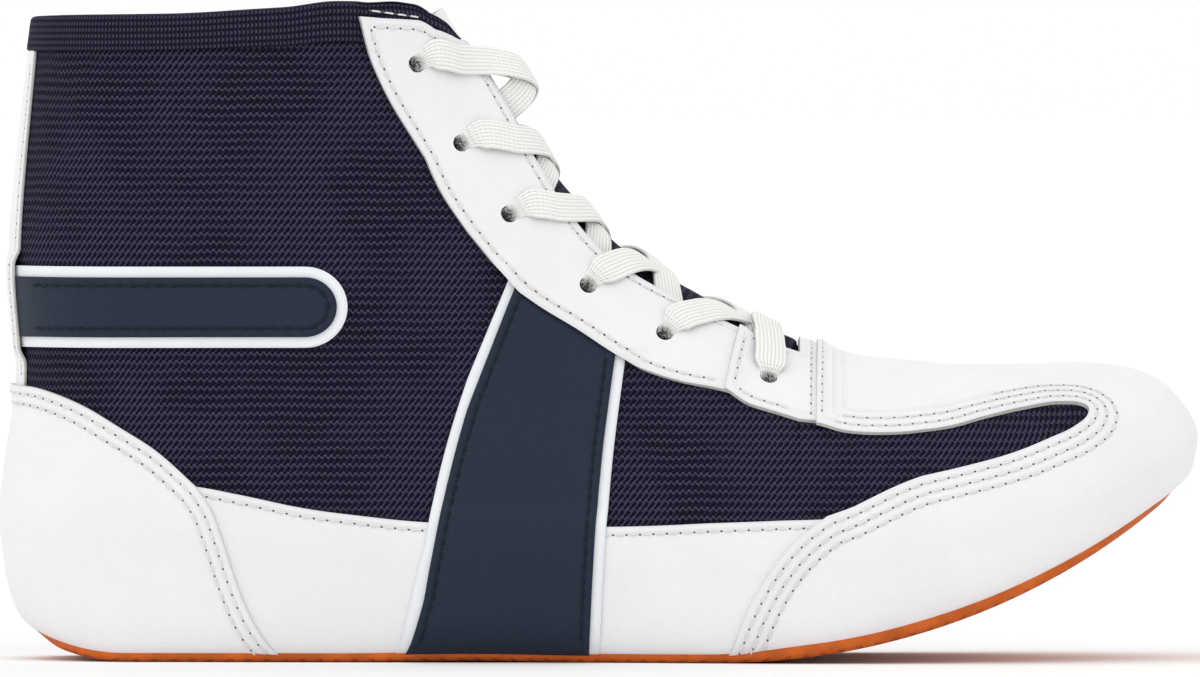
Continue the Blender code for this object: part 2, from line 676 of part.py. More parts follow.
RIDGE = form(q_at(np.linspace(RIDGE_START_X, RIDGE_END_X, 361)), 1.0)[:, [0, 2]]
RIDGE_RUN = run_lengths(RIDGE)


def throat_places(run, reach):
    """Places at a run down the ridge of the throat and a reach to its side, measured square to it."""
    base = np.stack([np.interp(run, RIDGE_RUN, RIDGE[:, 0]), np.interp(run, RIDGE_RUN, RIDGE[:, 1])], axis=-1)
    ahead = np.stack([np.interp(run, RIDGE_RUN, column) for column in np.gradient(RIDGE, axis=0).T], axis=-1)
    inward = np.stack([ahead[:, 1], -ahead[:, 0]], axis=-1) / np.linalg.norm(ahead, axis=1, keepdims=True)
    shallow, deep = np.zeros(len(base)), np.full(len(base), DEEPEST_LACE)
    for _ in range(HALVINGS):
        depth = (shallow + deep) / 2
        spot = base + inward * depth[:, None]
        q = q_at(spot[:, 0])
        v = v_at_reach(q, reach)
        outside = spot[:, 1] > profile(station(q), v)[1]
        shallow = np.where(outside, depth, shallow)
        deep = np.where(outside, deep, depth)
    return q, v


def eyelet_spots():
    """Run and reach of each eyelet in the throat's own measure."""
    places = locate(EYELETS)
    run = RIDGE_RUN[np.linalg.norm(np.array(EYELETS)[:, None] - RIDGE, axis=2).argmin(1)]
    return np.stack([run, profile(station(places[:, 0]), places[:, 1])[0]], axis=-1)


def lace_ribbon(route, side):
    """A flat lace's middle face along route rows (run, reach, lift); past the ridge the reach is negative."""
    route = np.asarray(route, float)
    knots = run_lengths(route[:, :2])
    run, reach, lift = curve(knots, route, even(9) * knots[-1]).T
    q, v = throat_places(run, np.abs(reach))
    q = np.where((reach >= 0) == (side == "outer"), q, LOOP - q)
    middle = draped(np.stack([q, v], axis=-1), lift)
    across = np.cross(form_normal(q, v), np.gradient(middle, axis=0))
    across *= LACE_WIDTH / 2 / np.linalg.norm(across, axis=1, keepdims=True)
    return np.stack([middle + across, middle - across], axis=1)


def strand_route(k, spots, lap):
    """From one eyelet over the throat to where the strand dives under the far edge."""
    run, reach = spots[k]
    step = spots[k + 1][0] - run
    half = throat_half(EYELETS[k][0])
    stand = LACE_AT_RIDGE if k else TOP_LOOP_STAND
    return [(run, reach, LACE_ON_LEATHER),
            (run + LACE_EDGE_SHARE * step, half + LACE_EDGE_MARGIN, LACE_ON_LEATHER),
            (run + LACE_CROSS_SHARE * step, 0.0, stand + lap),
            (run + LACE_DIVE_SHARE * step, LACE_DIVE_INSET - half, LACE_AT_DIVE)]


def make_laces(parts, cutters, lace_cloth):
    """A bar at the lowest eyelets and a joined crossing over each pair above."""
    spots = eyelet_spots()
    for k in range(len(EYELETS) - 1):
        name = f"lace_cross_{k + 1}"
        over = lace_ribbon(strand_route(k, spots, LACE_LAP), "outer")
        under = lace_ribbon(strand_route(k, spots, 0.0), "inner")
        strand = shell(name, [over], LACE_THICK, 0, parts, lace_cloth)
        other = shell(f"{name}_under", [under], LACE_THICK, 0, cutters)
        hide_tool(other)
        combine(strand, other, "UNION")
    run, reach = spots[-1]
    route = [(run, side * reach, LACE_ON_LEATHER) for side in (1, 0, -1)]
    shell("lace_bar", [lace_ribbon(route, "outer")], LACE_THICK, 0, parts, lace_cloth)


def build_shoe():
    remove_old_objects()
    parts = new_collection("kabaddi_shoe")
    cutters = new_collection("cutters")
    leather = new_material("white_leather", (238, 238, 240), 0.45)
    navy = new_material("navy_leather", (44, 53, 67), 0.50)
    mesh_cloth = new_material("navy_mesh", (38, 36, 54), 0.85)
    ribbed = new_material("navy_binding", (39, 38, 54), 0.80)
    lace_cloth = new_material("white_lace", (245, 243, 239), 0.80)
    lining = new_material("dark_lining", (60, 58, 70), 0.90)
    gum = new_material("orange_gum", (196, 96, 40), 0.55)

    make_sole(parts, gum, lining)
    pierced = [make_upper(parts, mesh_cloth), make_facing(parts, leather), *make_eyestays(parts, leather)]
    make_toe_cap(parts, leather)
    make_foxing(parts, leather)
    make_counter(parts, leather)
    make_back_strip(parts, leather)
    make_binding(parts, ribbed)
    make_saddles(parts, leather, navy)
    make_ankle_bands(parts, leather, navy)
    make_tongue(parts, mesh_cloth)
    make_laces(parts, cutters, lace_cloth)

    pins = make_eyelet_cutter(cutters)
    for obj in pierced:
        combine(obj, pins, "DIFFERENCE")
    origin = bpy.data.objects.new("shoe_origin", None)
    for obj in parts.objects:
        obj.data.shade_smooth()
        obj.parent = origin
    parts.objects.link(origin)


build_shoe()
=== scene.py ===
"""Kabaddi shoe, right foot: the finished look of each piece, laid out as an add-on and run as a script.

Tables and outlines are in millimetres: x runs forward from the back of the heel, z up from the floor, r out
from the middle line. A place on the upper is (q, v): q counts the stations from the back of the heel (0)
along the outer side to the toe (15) and back along the inner side (30), and v rises from the feather edge
at the sole (0) to the collar or the ridge of the instep (1).
"""
import math
from collections import namedtuple
from types import SimpleNamespace

import bmesh
import bpy
import numpy as np
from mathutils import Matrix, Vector


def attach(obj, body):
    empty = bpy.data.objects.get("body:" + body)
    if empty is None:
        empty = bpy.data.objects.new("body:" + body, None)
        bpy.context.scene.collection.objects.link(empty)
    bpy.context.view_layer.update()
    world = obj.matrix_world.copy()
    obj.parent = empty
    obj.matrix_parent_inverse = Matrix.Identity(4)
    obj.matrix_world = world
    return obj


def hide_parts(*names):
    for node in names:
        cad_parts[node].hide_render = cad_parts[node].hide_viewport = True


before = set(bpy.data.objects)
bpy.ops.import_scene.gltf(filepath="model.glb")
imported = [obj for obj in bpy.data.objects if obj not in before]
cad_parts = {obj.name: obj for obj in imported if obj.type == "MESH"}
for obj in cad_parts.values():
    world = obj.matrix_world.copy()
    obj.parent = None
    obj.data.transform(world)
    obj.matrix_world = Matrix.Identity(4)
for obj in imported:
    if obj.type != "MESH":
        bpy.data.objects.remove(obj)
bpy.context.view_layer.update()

bl_info = {
    "name": "Kabaddi shoe",
    "version": (1, 0, 0),
    "blender": (4, 5, 0),
    "location": "3D View > Sidebar > Shoe",
    "description": "Dresses the shoe in leather, knit, stitching and lace, and sets the stage",
    "category": "Object",
}

MM = 0.001
BODY = "root"

# The form of the shoe, as the solids have it
SHOE_LENGTH = 282.0
WALL = 2.0
GAP = 0.4
SOLE_THICK = 2.4
INSOLE_THICK = 2.5
INSOLE_INSET = 1.0
HEEL_FLAT_X = 30.0
HEEL_RADIUS = 45.0
TOE_FLAT_X = 168.0
TOE_RADIUS = 168.0
ARCH_START_X = 78.0
ARCH_END_X = 142.0
ARCH_LIFT = 2.5
OUTER_ARCH_SHARE = 0.15
SWING_START_X = 150.0
SWING_END_X = 252.0
SWING = 4.0
SPINE_SHIFT = -1.0

Section = namedtuple("Section", "base_x angle inner feather_r bulge_r bulge_z shoulder_r shoulder_z "
                                "ankle_r ankle_z top_r top_z closed")
SECTIONS = [
    Section(36, 180, 1.00, 28.0, 34.7, 29.0, 31.3, 66.0, 33.0, 96.0, 27.6, 150.0, 0.0),
    Section(36, 225, 1.00, 28.5, 34.0, 28.0, 30.6, 66.0, 31.5, 97.0, 28.4, 150.2, 0.0),
    Section(36, 270, 1.00, 29.5, 33.6, 27.0, 30.2, 66.0, 30.2, 98.0, 28.6, 150.4, 0.0),
    Section(60, 270, 0.98, 31.0, 34.6, 26.0, 31.2, 66.0, 30.4, 100.0, 29.6, 150.8, 0.0),
    Section(84, 270, 0.94, 32.2, 35.8, 25.0, 32.0, 65.0, 29.6, 104.0, 25.6, 151.0, 0.0),
    Section(100, 270, 0.91, 32.8, 36.6, 24.0, 32.6, 63.0, 27.6, 107.0, 16.0, 150.5, 0.3),
    Section(110, 270, 0.89, 33.0, 37.2, 23.5, 32.8, 62.0, 26.3, 106.0, 0.0, 148.0, 1.0),
    Section(122, 270, 0.87, 33.5, 37.8, 22.5, 33.2, 60.0, 24.5, 101.0, 0.0, 132.0, 1.0),
    Section(142, 270, 0.87, 35.5, 39.8, 21.5, 34.6, 56.0, 23.5, 87.0, 0.0, 104.0, 1.0),
    Section(162, 270, 0.90, 39.5, 43.5, 20.5, 37.5, 52.0, 24.0, 76.0, 0.0, 88.5, 1.0),
    Section(182, 270, 0.94, 43.5, 47.0, 20.5, 40.5, 49.5, 25.0, 67.0, 0.0, 77.0, 1.0),
    Section(200, 270, 0.96, 45.5, 49.0, 22.0, 42.5, 48.0, 26.5, 63.0, 0.0, 70.6, 1.0),
    Section(216, 270, 0.97, 45.0, 48.5, 26.5, 41.0, 49.0, 26.0, 62.5, 0.0, 68.7, 1.0),
    Section(232, 297, 0.98, 41.5, 44.9, 35.5, 37.5, 53.0, 24.0, 63.5, 0.0, 68.0, 1.0),
    Section(244, 325, 0.99, 32.0, 36.5, 47.0, 31.0, 58.0, 20.5, 65.0, 0.0, 68.2, 1.0),
    Section(252, 360, 1.00, 23.1, 28.2, 50.5, 24.0, 60.5, 16.0, 66.3, 0.0, 68.4, 1.0),
]
HALF = len(SECTIONS) - 1
LOOP = 2 * HALF
PROFILE_KNOTS = np.array([-0.14, 0.0, 0.18, 0.44, 0.70, 1.0, 1.3])
TURN_IN = 16.0
RIM_V = 0.995
TINY = 0.01
LARGEST_MOVE = 0.08
LOCATE_ROUNDS = 8
HALVINGS = 22

# Throat: half its width at places along the instep
THROAT_X = (97.0, 101.0, 105.0, 108.8, 112.0, 116.6, 120.0, 124.3, 129.6, 135.8, 142.1, 151.2, 160.6, 172.7,
            180.0, 186.5)
THROAT_HALF = (19.7, 16.6, 12.0, 8.0, 7.4, 9.4, 11.0, 13.6, 15.7, 17.1, 17.9, 17.4, 16.8, 15.3, 14.9, 14.9)
THROAT_END_X = 188.0
THROAT_SLOPE_X = 95.5

# Outlines of the panels on the outer side, as (x, z); pieces that another covers run on under it
COUNTER_FRONT = [(66.0, 2.7), (59.4, 11.2), (55.7, 20.2), (53.1, 28.2), (50.3, 35.5), (46.8, 40.9)]
COUNTER_TOP = [(46.8, 40.9), (37.8, 48.9), (29.6, 54.3), (20.7, 59.7), (11.7, 63.3)]
COUNTER_BACK_Z = 64.7
FOXING_TOP = [(43.4, 41.4), (47.6, 40.9), (56.6, 39.2), (79.1, 35.0), (117.0, 32.3), (141.0, 31.8),
              (168.0, 32.7), (193.4, 33.6), (197.6, 33.9)]
TOE_BACK = [(171.0, 2.7), (174.3, 9.4), (177.9, 16.5), (183.3, 24.7), (188.7, 30.1), (194.1, 34.1)]
INLAY_LOWER = [(194.1, 34.1), (207.5, 40.0), (227.2, 45.8), (238.0, 48.8), (247.1, 52.4), (252.0, 54.7),
               (254.6, 56.7), (255.3, 58.2)]
INLAY_UPPER = [(191.4, 54.9), (204.0, 53.2), (213.0, 53.4), (222.0, 54.5), (231.0, 56.8), (240.0, 58.8),
               (248.9, 60.0), (253.2, 59.7), (254.9, 59.0), (255.3, 58.2)]
FACING_LOWER = [(169.9, 63.1), (175.2, 60.2), (182.4, 57.9), (187.5, 56.3)]
FACING_FRONT = (195.5, 55.6)
FACING_SLOT_X = (172.9, 187.5)
EYESTAY_EDGE = [(83.9, 150.8), (86.2, 143.4), (94.5, 126.3), (103.4, 110.2), (112.3, 97.5), (125.0, 84.1),
                (136.1, 77.1), (151.8, 67.9), (160.0, 65.3), (169.2, 63.4), (173.0, 62.4)]
EYESTAY_SLOT_X = (97.2, 176.4)
EYELETS = [(97.6, 139.6), (108.0, 120.9), (119.4, 104.3), (137.9, 87.7), (155.9, 76.4), (180.2, 65.8)]
SADDLE_TOP = [(120.2, 91.0), (126.3, 85.4), (137.3, 78.4), (147.1, 72.3)]
SADDLE_REAR = [(93.0, 2.9), (102.5, 40.0), (120.2, 91.0)]
SADDLE_FRONT = [(141.0, 2.9), (143.0, 36.0), (147.1, 72.3)]
ANKLE_LOW_Z = 73.5
ANKLE_HIGH_Z = 92.5
ANKLE_STRAIGHT_X = 72.0
ANKLE_TIP_X = 82.0
BORDER = 2.5
STRIP_HALF_Q = 0.44
STRIP_LOW_Z = 61.5
STRIP_HIGH_Z = 145.0
BINDING_END_X = 108.5
BINDING_THINS_X = 82.0
# How far the tape stands over the rim: rise, start and length of its growth, end and length of its fall
BINDING_RISE = ((1.4, 36.0, 45.0, 110.0, 5.0), (1.0, 66.0, 13.0, 110.0, 5.0), (1.4, 84.0, 10.0, 108.0, 6.0))
BINDING_OUT = 1.05
BINDING_IN = 0.35
BINDING_THICK = 0.7
COLLAR_SEAM_X = (85.5, 99.0)
COLLAR_SEAM_RISE = 0.012
COLLAR_SEAM_LIFT = ((85.5, 100.0), (0.68, 1.47))
RUN_UNDER = 4.0

# Tongue and lace
TONGUE_X = (192.0, 180.0, 168.0, 156.0, 146.0, 136.0, 127.0, 119.0, 113.0)
TONGUE_RISE = 11.7
TONGUE_TAB = 13.0
TONGUE_DROP_X = (103.0, 112.0, 122.0, 130.0, 137.0, 150.0, 164.0, 176.0, 184.0, 187.1, 188.5, 190.0)
TONGUE_DROP = (2.4, 3.5, 4.4, 3.6, 2.8, 2.6, 1.2, 0.8, 0.0, 0.0, 2.4, 2.9)
TONGUE_RADIUS = 20.0
TONGUE_TOP_RADIUS = 12.5
TONGUE_HALF_TURN = 1.25
TONGUE_THICK = 3.0
TONGUE_ROUND = 9.0
TONGUE_TOP_SHARE = 0.45
LACE_ON_LEATHER = 2.1
LACE_IN_EYELET = 0.3
LACE_UNDER_LEATHER = -3.1
LACE_LAP = 1.2
LACE_OVER = (1, 1, 1, -1, -1)
LACE_LEAVES = (0.36, 0.37, 0.25, 0.08, 0.17)
# The first crossing's loop: share of the step, reach, lift, and 1 where it takes the lap
LACE_LOOP = ((0.68, 3.2, 3.7, 1), (0.84, -1.2, 3.7, 1), (0.93, -5.6, 1.9, 1), (0.95, -8.6, -0.8, 0))
# The other crossings: share of the step and lift at the ridge
LACE_CROSSES = {1: (0.66, -3.0), 2: (0.56, -2.6), 3: (0.52, -1.8), 4: (0.62, -0.9)}
# Half of the bar: run before its eyelet, reach and lift
LACE_BAR = ((3.4, 14.5, 2.4), (5.2, 6.0, 1.8))
LACE_STEP = 0.8
LACE_SIDES = 28
LACE_GATHER = (1.0, 3.4)
LACE_NARROWS = 0.48
LACE_THICKENS = 0.30
EYELET_PULL = 11.0
RIDGE_START_X = 110.0
RIDGE_END_X = 200.0
DEEPEST_LACE = 40.0

# Edge of the sole: its section as (margin, height), the margin from which it grows into a ledge, and what the
# ledge gains at the heel, past the waist and at the toe
SOLE_SIDE = ((-1.0, 2.4), (0.6, 2.9), (1.25, 2.6), (1.4, 1.9), (1.3, 1.2), (0.8, 0.5), (-0.2, 0.1),
             (-1.8, 0.0))
SOLE_SEAT = -1.0
SOLE_LEDGE = (-0.4, 1.3, 0.7)
SOLE_WAIST_X = (165.0, 25.0)
SOLE_TOE_X = (225.0, 40.0)
SOLE_TOE_HEIGHT = 0.22
SOLE_HEEL_THINS = (7.0, 8.0)
SOLE_TOE_THINS = (279.0, 7.0)
SOLE_END_SHARE = 0.4

# Rim of the knit, which stays lower under the eyestays
RIM_FALLS_X = (85.0, 4.0)
RIM_FALL = 0.022

# Pore size and depth in millimetres, roughness and gloss
WHITE_GRAIN = (0.9, 0.035, 0.44, 0.42)
BACKING_GRAIN = (0.9, 0.03, 0.5, 0.35)
NAVY_GRAIN = (0.8, 0.07, 0.46, 0.2)
# Painted shade of the needle holes, as sRGB bytes
WHITE_NEEDLE_HOLE_SHADE = (96, 92, 90)
NAVY_NEEDLE_HOLE_SHADE = (8, 9, 14)
LACE_RIBS = 8.0

# Camera and floor, in metres
CAMERA_LENS = 800.0
CAMERA_RISE = math.radians(1.0)
CAMERA_AIM = (0.0, 0.0, 0.07515)
FRAME_WIDTH = 0.282
FLOOR_RADIUS = 14.0
LIGHT_AIM = (0.0, 0.0, 0.05)

# Layers over the cloth, in millimetres
ON_CLOTH = 0.1
STEP_UP = 1.0
STEP_REACH = 7.0
CUT_BEVEL = 0.28
SLOT_LAP = -0.2
WELD = 0.03
PANEL_WELD = 0.08
SEAM_INSET = 2.0


def linear(red, green, blue):
    """A colour given as sRGB bytes, in linear light."""
    share = [c / 255 for c in (red, green, blue)]
    return tuple(c / 12.92 if c <= 0.04045 else ((c + 0.055) / 1.055) ** 2.4 for c in share)


# Curves and the form


def curve(knots, rows, at):
    """Points of a smooth curve through rows, one a knot; rows may hold a curve of its own for each place."""
    knots = np.asarray(knots, float)
    rows = np.asarray(rows, float)
    at = np.asarray(at, float)
    step = np.diff(knots).reshape([-1] + [1] * (rows.ndim - 1))
    chord = np.diff(rows, axis=0) / step
    middle = (chord[:-1] * step[1:] + chord[1:] * step[:-1]) / (step[:-1] + step[1:])
    slope = np.concatenate([chord[:1], middle, chord[-1:]])
    i = np.clip(np.searchsorted(knots, at, side="right") - 1, 0, len(knots) - 2)
    here = (i,) if rows.ndim == 2 else (i, np.arange(len(at)))
    there = (i + 1,) + here[1:]
    span = (knots[i + 1] - knots[i])[:, None]
    t = (at - knots[i])[:, None] / span
    a, b = rows[here], rows[there]
    m, n = slope[here] * span, slope[there] * span
    return a + t * (m + t * (3 * (b - a) - 2 * m - n + t * (2 * (a - b) + m + n)))


def smoothstep(value):
    value = np.clip(value, 0.0, 1.0)
    return value * value * (3 - 2 * value)


def unit(vectors):
    return vectors / np.linalg.norm(vectors, axis=-1, keepdims=True)


def sole_rise(x):
    """Height of the tread over the floor: round at the heel, sprung at the toe."""
    back = np.clip(HEEL_FLAT_X - x, 0.0, None)
    front = np.clip(x - TOE_FLAT_X, 0.0, None)
    return (HEEL_RADIUS - np.sqrt(HEEL_RADIUS ** 2 - back ** 2)
            + TOE_RADIUS - np.sqrt(TOE_RADIUS ** 2 - front ** 2))


def arch_lift(x):
    share = np.clip((x - ARCH_START_X) / (ARCH_END_X - ARCH_START_X), 0.0, 1.0)
    return ARCH_LIFT * np.sin(math.pi * share) ** 2


def spine_y(x):
    return SPINE_SHIFT + SWING * smoothstep((x - SWING_START_X) / (SWING_END_X - SWING_START_X))


def loop_row(k):
    """A station of the closed loop round the shoe; the inner side is slimmed by its own share."""
    turn, k = divmod(k, LOOP)
    inner_side = k > HALF
    row = SECTIONS[LOOP - k if inner_side else k]
    slim = row.inner if inner_side else 1.0
    angle = 720 - row.angle if inner_side else row.angle
    return row._replace(angle=angle + 360 * turn, feather_r=row.feather_r * slim, bulge_r=row.bulge_r * slim,
                        shoulder_r=row.shoulder_r * (1 + slim) / 2)


def run_lengths(points):
    """Distance of each point along the line through them."""
    return np.concatenate([[0.0], np.cumsum(np.linalg.norm(np.diff(points, axis=0), axis=1))])


def loop_knots(rows):
    """Distance round the shoe of each station, along its widest line."""
    table = Section(*rows.T)
    turn = np.radians(table.angle)
    return run_lengths(np.stack([table.base_x + table.bulge_r * np.cos(turn),
                                 table.bulge_r * np.sin(turn)], axis=-1))


LOOP_PLACE = np.arange(-8, LOOP + 9)
LOOP_ROWS = np.array([loop_row(k) for k in LOOP_PLACE], float)
LOOP_KNOTS = loop_knots(LOOP_ROWS)


def station(q):
    """The section columns at places q round the loop."""
    return Section(*curve(LOOP_KNOTS, LOOP_ROWS, np.interp(q, LOOP_PLACE, LOOP_KNOTS)).T)


def profile(s, v):
    """(r, z) on the sections s at heights v."""
    turn = np.radians(s.angle)
    feather_x = s.base_x + s.feather_r * np.cos(turn)
    arch_share = np.where(np.sin(turn) > 0, 1.0, OUTER_ARCH_SHARE)
    feather_z = SOLE_THICK + GAP + sole_rise(feather_x) + arch_lift(feather_x) * arch_share
    past_r = (2 * s.top_r - s.ankle_r) * (1 - s.closed) - s.ankle_r * s.closed
    past_z = (2 * s.top_z - s.ankle_z) * (1 - s.closed) + s.ankle_z * s.closed
    reach = [s.feather_r - TURN_IN, s.feather_r, s.bulge_r, s.shoulder_r, s.ankle_r, s.top_r, past_r]
    height = [feather_z, feather_z, s.bulge_z, s.shoulder_z, s.ankle_z, s.top_z, past_z]
    return curve(PROFILE_KNOTS, np.stack([reach, height], axis=-1), v).T


def form(q, v):
    """Points of the upper's outer face at places (q, v)."""
    q, v = np.broadcast_arrays(np.asarray(q, float), np.asarray(v, float))
    s = station(q.ravel())
    r, z = profile(s, v.ravel())
    turn = np.radians(s.angle)
    points = np.stack([s.base_x + r * np.cos(turn), spine_y(s.base_x) + r * np.sin(turn), z], axis=-1)
    return points.reshape(q.shape + (3,))


def form_slopes(q, v):
    """How far a place moves for a unit of q and of v."""
    v = np.minimum(v, RIM_V)
    along = (form(q + TINY, v) - form(q - TINY, v)) / (2 * TINY)
    up = (form(q, v + TINY / 2) - form(q, v - TINY / 2)) / TINY
    return along, up


def form_normal(q, v):
    """Outward normals of the form; the ridge takes its neighbour's."""
    return unit(np.cross(*form_slopes(q, v)))


def on_form(places):
    return form(places[..., 0], places[..., 1])


def draped(places, lift):
    """Points at a height over the form."""
    q, v = places[..., 0], places[..., 1]
    return form(q, v) + form_normal(q, v) * np.asarray(lift)[..., None]


SCAN_Q = np.linspace(2.0, HALF, 400)
SCAN_X = station(SCAN_Q).base_x


def q_at(x):
    """Place round the outer side of the section that stands at x."""
    return np.interp(x, SCAN_X, SCAN_Q)


def v_where(q, column, target, low, high):
    """Height on the sections at q where r (column 0) falls, or z (column 1) rises, to the target."""
    q, target = np.broadcast_arrays(np.atleast_1d(np.asarray(q, float)), np.asarray(target, float))
    s = station(q)
    low = np.full(q.shape, low)
    high = np.full(q.shape, high)
    for _ in range(HALVINGS):
        middle = (low + high) / 2
        value = profile(s, middle)[column]
        below = value > target if column == 0 else value < target
        low = np.where(below, middle, low)
        high = np.where(below, high, middle)
    return (low + high) / 2


def v_at_height(q, z):
    return v_where(q, 1, z, 0.0, 1.0)


def at_height(q, z):
    """Places round the shoe at a height over the floor."""
    return np.stack([q, v_at_height(q, z)], axis=-1)


def v_at_reach(q, r):
    return v_where(q, 0, r, 0.5, 1.0)


GRID_Q, GRID_V = (axis.ravel() for axis in np.meshgrid(np.linspace(0, HALF, 241), np.linspace(0, 1, 61)))
GRID_XZ = form(GRID_Q, GRID_V)[:, [0, 2]]


def locate(points):
    """Places (q, v) on the outer side that are seen at the points (x, z)."""
    points = np.asarray(points, float)
    nearest = ((points[:, None] - GRID_XZ) ** 2).sum(-1).argmin(1)
    q, v = GRID_Q[nearest], GRID_V[nearest]
    for _ in range(LOCATE_ROUNDS):
        here = form(q, v)[:, [0, 2]]
        along = (form(q + TINY, v)[:, [0, 2]] - here) / TINY
        up = (form(q, v + TINY)[:, [0, 2]] - here) / TINY
        miss = points - here
        area = along[:, 0] * up[:, 1] - along[:, 1] * up[:, 0]
        move_q = (miss[:, 0] * up[:, 1] - miss[:, 1] * up[:, 0]) / area
        move_v = (along[:, 0] * miss[:, 1] - along[:, 1] * miss[:, 0]) / area
        q = q + np.clip(move_q, -LARGEST_MOVE, LARGEST_MOVE)
        v = np.clip(v + np.clip(move_v, -LARGEST_MOVE, LARGEST_MOVE), 0, 1)
    return np.stack([q, v], axis=-1)


def even(count):
    return np.linspace(0, 1, count)


def through(guides, shares, trim=0.0):
    """A smooth edge through guide places, read at shares of its length, cut short by trim at both ends."""
    knots = run_lengths(on_form(guides))
    return curve(knots, guides, trim + np.asarray(shares) * (knots[-1] - 2 * trim))


def edge(points, shares, shift_x=0.0, trim=0.0):
    """A smooth edge through points (x, z) of the outer side."""
    return through(locate(np.asarray(points, float) + (shift_x, 0.0)), shares, trim)


def level(q_start, q_end, v, count):
    return np.stack([np.linspace(q_start, q_end, count), np.full(count, v)], axis=-1)


def patch(low, high, shares, start=None, end=None):
    """A grid of places at shares of the way between two edges, with straight ends unless others are given."""
    u = even(len(low))[:, None, None]
    w = np.asarray(shares)[None, :, None]
    grid = low[:, None] * (1 - w) + high[:, None] * w
    if start is not None:
        grid = grid + (1 - u) * (start[None] - grid[:1])
    if end is not None:
        grid = grid + u * (end[None] - grid[-1:])
    return grid


def mirrored(places):
    """The same grid or line on the inner side."""
    return np.stack([LOOP - places[::-1, ..., 0], places[::-1, ..., 1]], axis=-1)


def throat_half(x):
    return np.interp(x, THROAT_X, THROAT_HALF)


def throat_edge(x_values, inset):
    """Places along the throat's edge, an inset away from it."""
    q = q_at(np.asarray(x_values, float))
    return np.stack([q, v_at_reach(q, throat_half(x_values) + inset)], axis=-1)


def place(points):
    """Millimetres of the tables to metres about the middle of the shoe."""
    return (points - (SHOE_LENGTH / 2, 0.0, 0.0)) * MM


def nearest(points, targets):
    """Distance from each point to the nearest of the targets."""
    flat = points.reshape(-1, 3)
    best = np.full(len(flat), np.inf)
    for some in np.array_split(targets, max(1, len(targets) // 48)):
        best = np.minimum(best, ((flat[:, None] - some) ** 2).sum(-1).min(1))
    return np.sqrt(best).reshape(points.shape[:-1])


def inset_line(line, distance):
    """A line on the form moved sideways, to the left of its run where the distance is positive."""
    rounds = max(1, math.ceil(abs(distance) / 1.5))
    for _ in range(rounds):
        q, v = line.T
        along, up = form_slopes(q, v)
        ahead = np.gradient(on_form(line), axis=0)
        move = unit(np.cross(np.cross(along, up), ahead)) * distance / rounds
        aa, au, uu = (along * along).sum(-1), (along * up).sum(-1), (up * up).sum(-1)
        ma, mu = (along * move).sum(-1), (up * move).sum(-1)
        area = aa * uu - au * au
        line = line + np.stack([ma * uu - mu * au, mu * aa - ma * au], axis=-1) / area[:, None]
    return line


# Meshes


def sheet(name, grids, cloth=None, holes=(), hole_radius=0.0, closed=False, weld=WELD):
    """A smooth mesh from grids of points, welded where they meet.

    cloth gives each grid its own places on the cloth, in millimetres; holes are punched round; weld is the
    distance within which corners meet.
    """
    starts = np.cumsum([0] + [g.shape[0] * g.shape[1] for g in grids])
    quads = []
    for points, start in zip(grids, starts):
        index = start + np.arange(points.shape[0] * points.shape[1]).reshape(points.shape[:2])
        quads.append(np.stack([index[:-1, :-1], index[1:, :-1], index[1:, 1:], index[:-1, 1:]], axis=-1)
                     .reshape(-1, 4))
    quads = np.concatenate(quads)
    spots = np.concatenate([g.reshape(-1, 3) for g in grids])
    data = bpy.data.meshes.new(name)
    data.from_pydata(place(spots).tolist(), [], quads.tolist())
    if cloth is not None:
        flat = np.concatenate([c.reshape(-1, 2) for c in cloth])
        layer = data.uv_layers.new(name="cloth")
        layer.data.foreach_set("uv", flat[quads.ravel()].ravel())
    mesh = bmesh.new()
    mesh.from_mesh(data)
    bmesh.ops.remove_doubles(mesh, verts=mesh.verts, dist=weld * MM)
    for spot in holes:
        punch(mesh, Vector(place(spot)), hole_radius * MM)
    if closed:
        bmesh.ops.recalc_face_normals(mesh, faces=mesh.faces)
    mesh.to_mesh(data)
    mesh.free()
    data.shade_smooth()
    obj = bpy.data.objects.new(name, data)
    bpy.context.scene.collection.objects.link(obj)
    return obj


def punch(mesh, spot, radius):
    """Opens a round hole: faces inside go, and the corners left round it move onto its circle."""
    inside = [f for f in mesh.faces if (f.calc_center_median() - spot).length < radius]
    corners = {v for f in inside for v in f.verts}
    bmesh.ops.delete(mesh, geom=inside, context="FACES")
    for vert in corners:
        if vert.is_valid:
            away = vert.co - spot
            vert.co = spot + away * (radius / away.length)


def thicken(obj, thickness, offset, inside=0, rim=0, bevel=CUT_BEVEL, segments=2):
    """Gives a sheet its thickness in millimetres and softens its cut edges."""
    modifier = obj.modifiers.new("Thickness", "SOLIDIFY")
    modifier.thickness = thickness * MM
    modifier.offset = offset
    modifier.material_offset = inside
    modifier.material_offset_rim = rim
    soften = obj.modifiers.new("Soft edges", "BEVEL")
    soften.width = bevel * MM
    soften.segments = segments
    soften.limit_method = "ANGLE"
    soften.angle_limit = math.radians(50)
    even_light = obj.modifiers.new("Even light", "WEIGHTED_NORMAL")
    even_light.keep_sharp = True


def mark(obj, name, values):
    """Writes a number for each vertex, for the finish to read."""
    layer = obj.data.attributes.new(name, "FLOAT", "POINT")
    layer.data.foreach_set("value", np.asarray(values, np.float32))


def corners_of(obj):
    """The vertices of a mesh in the tables' millimetres."""
    spots = np.empty(len(obj.data.vertices) * 3)
    obj.data.vertices.foreach_get("co", spots)
    return spots.reshape(-1, 3) / MM + (SHOE_LENGTH / 2, 0.0, 0.0)


def hand_over(obj, finishes, nodes):
    """Gives a piece its finishes and its place in the frame."""
    for finish in finishes:
        obj.data.materials.append(finish)
    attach(obj, BODY)
    if nodes:
        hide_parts(*nodes)


# Finishes


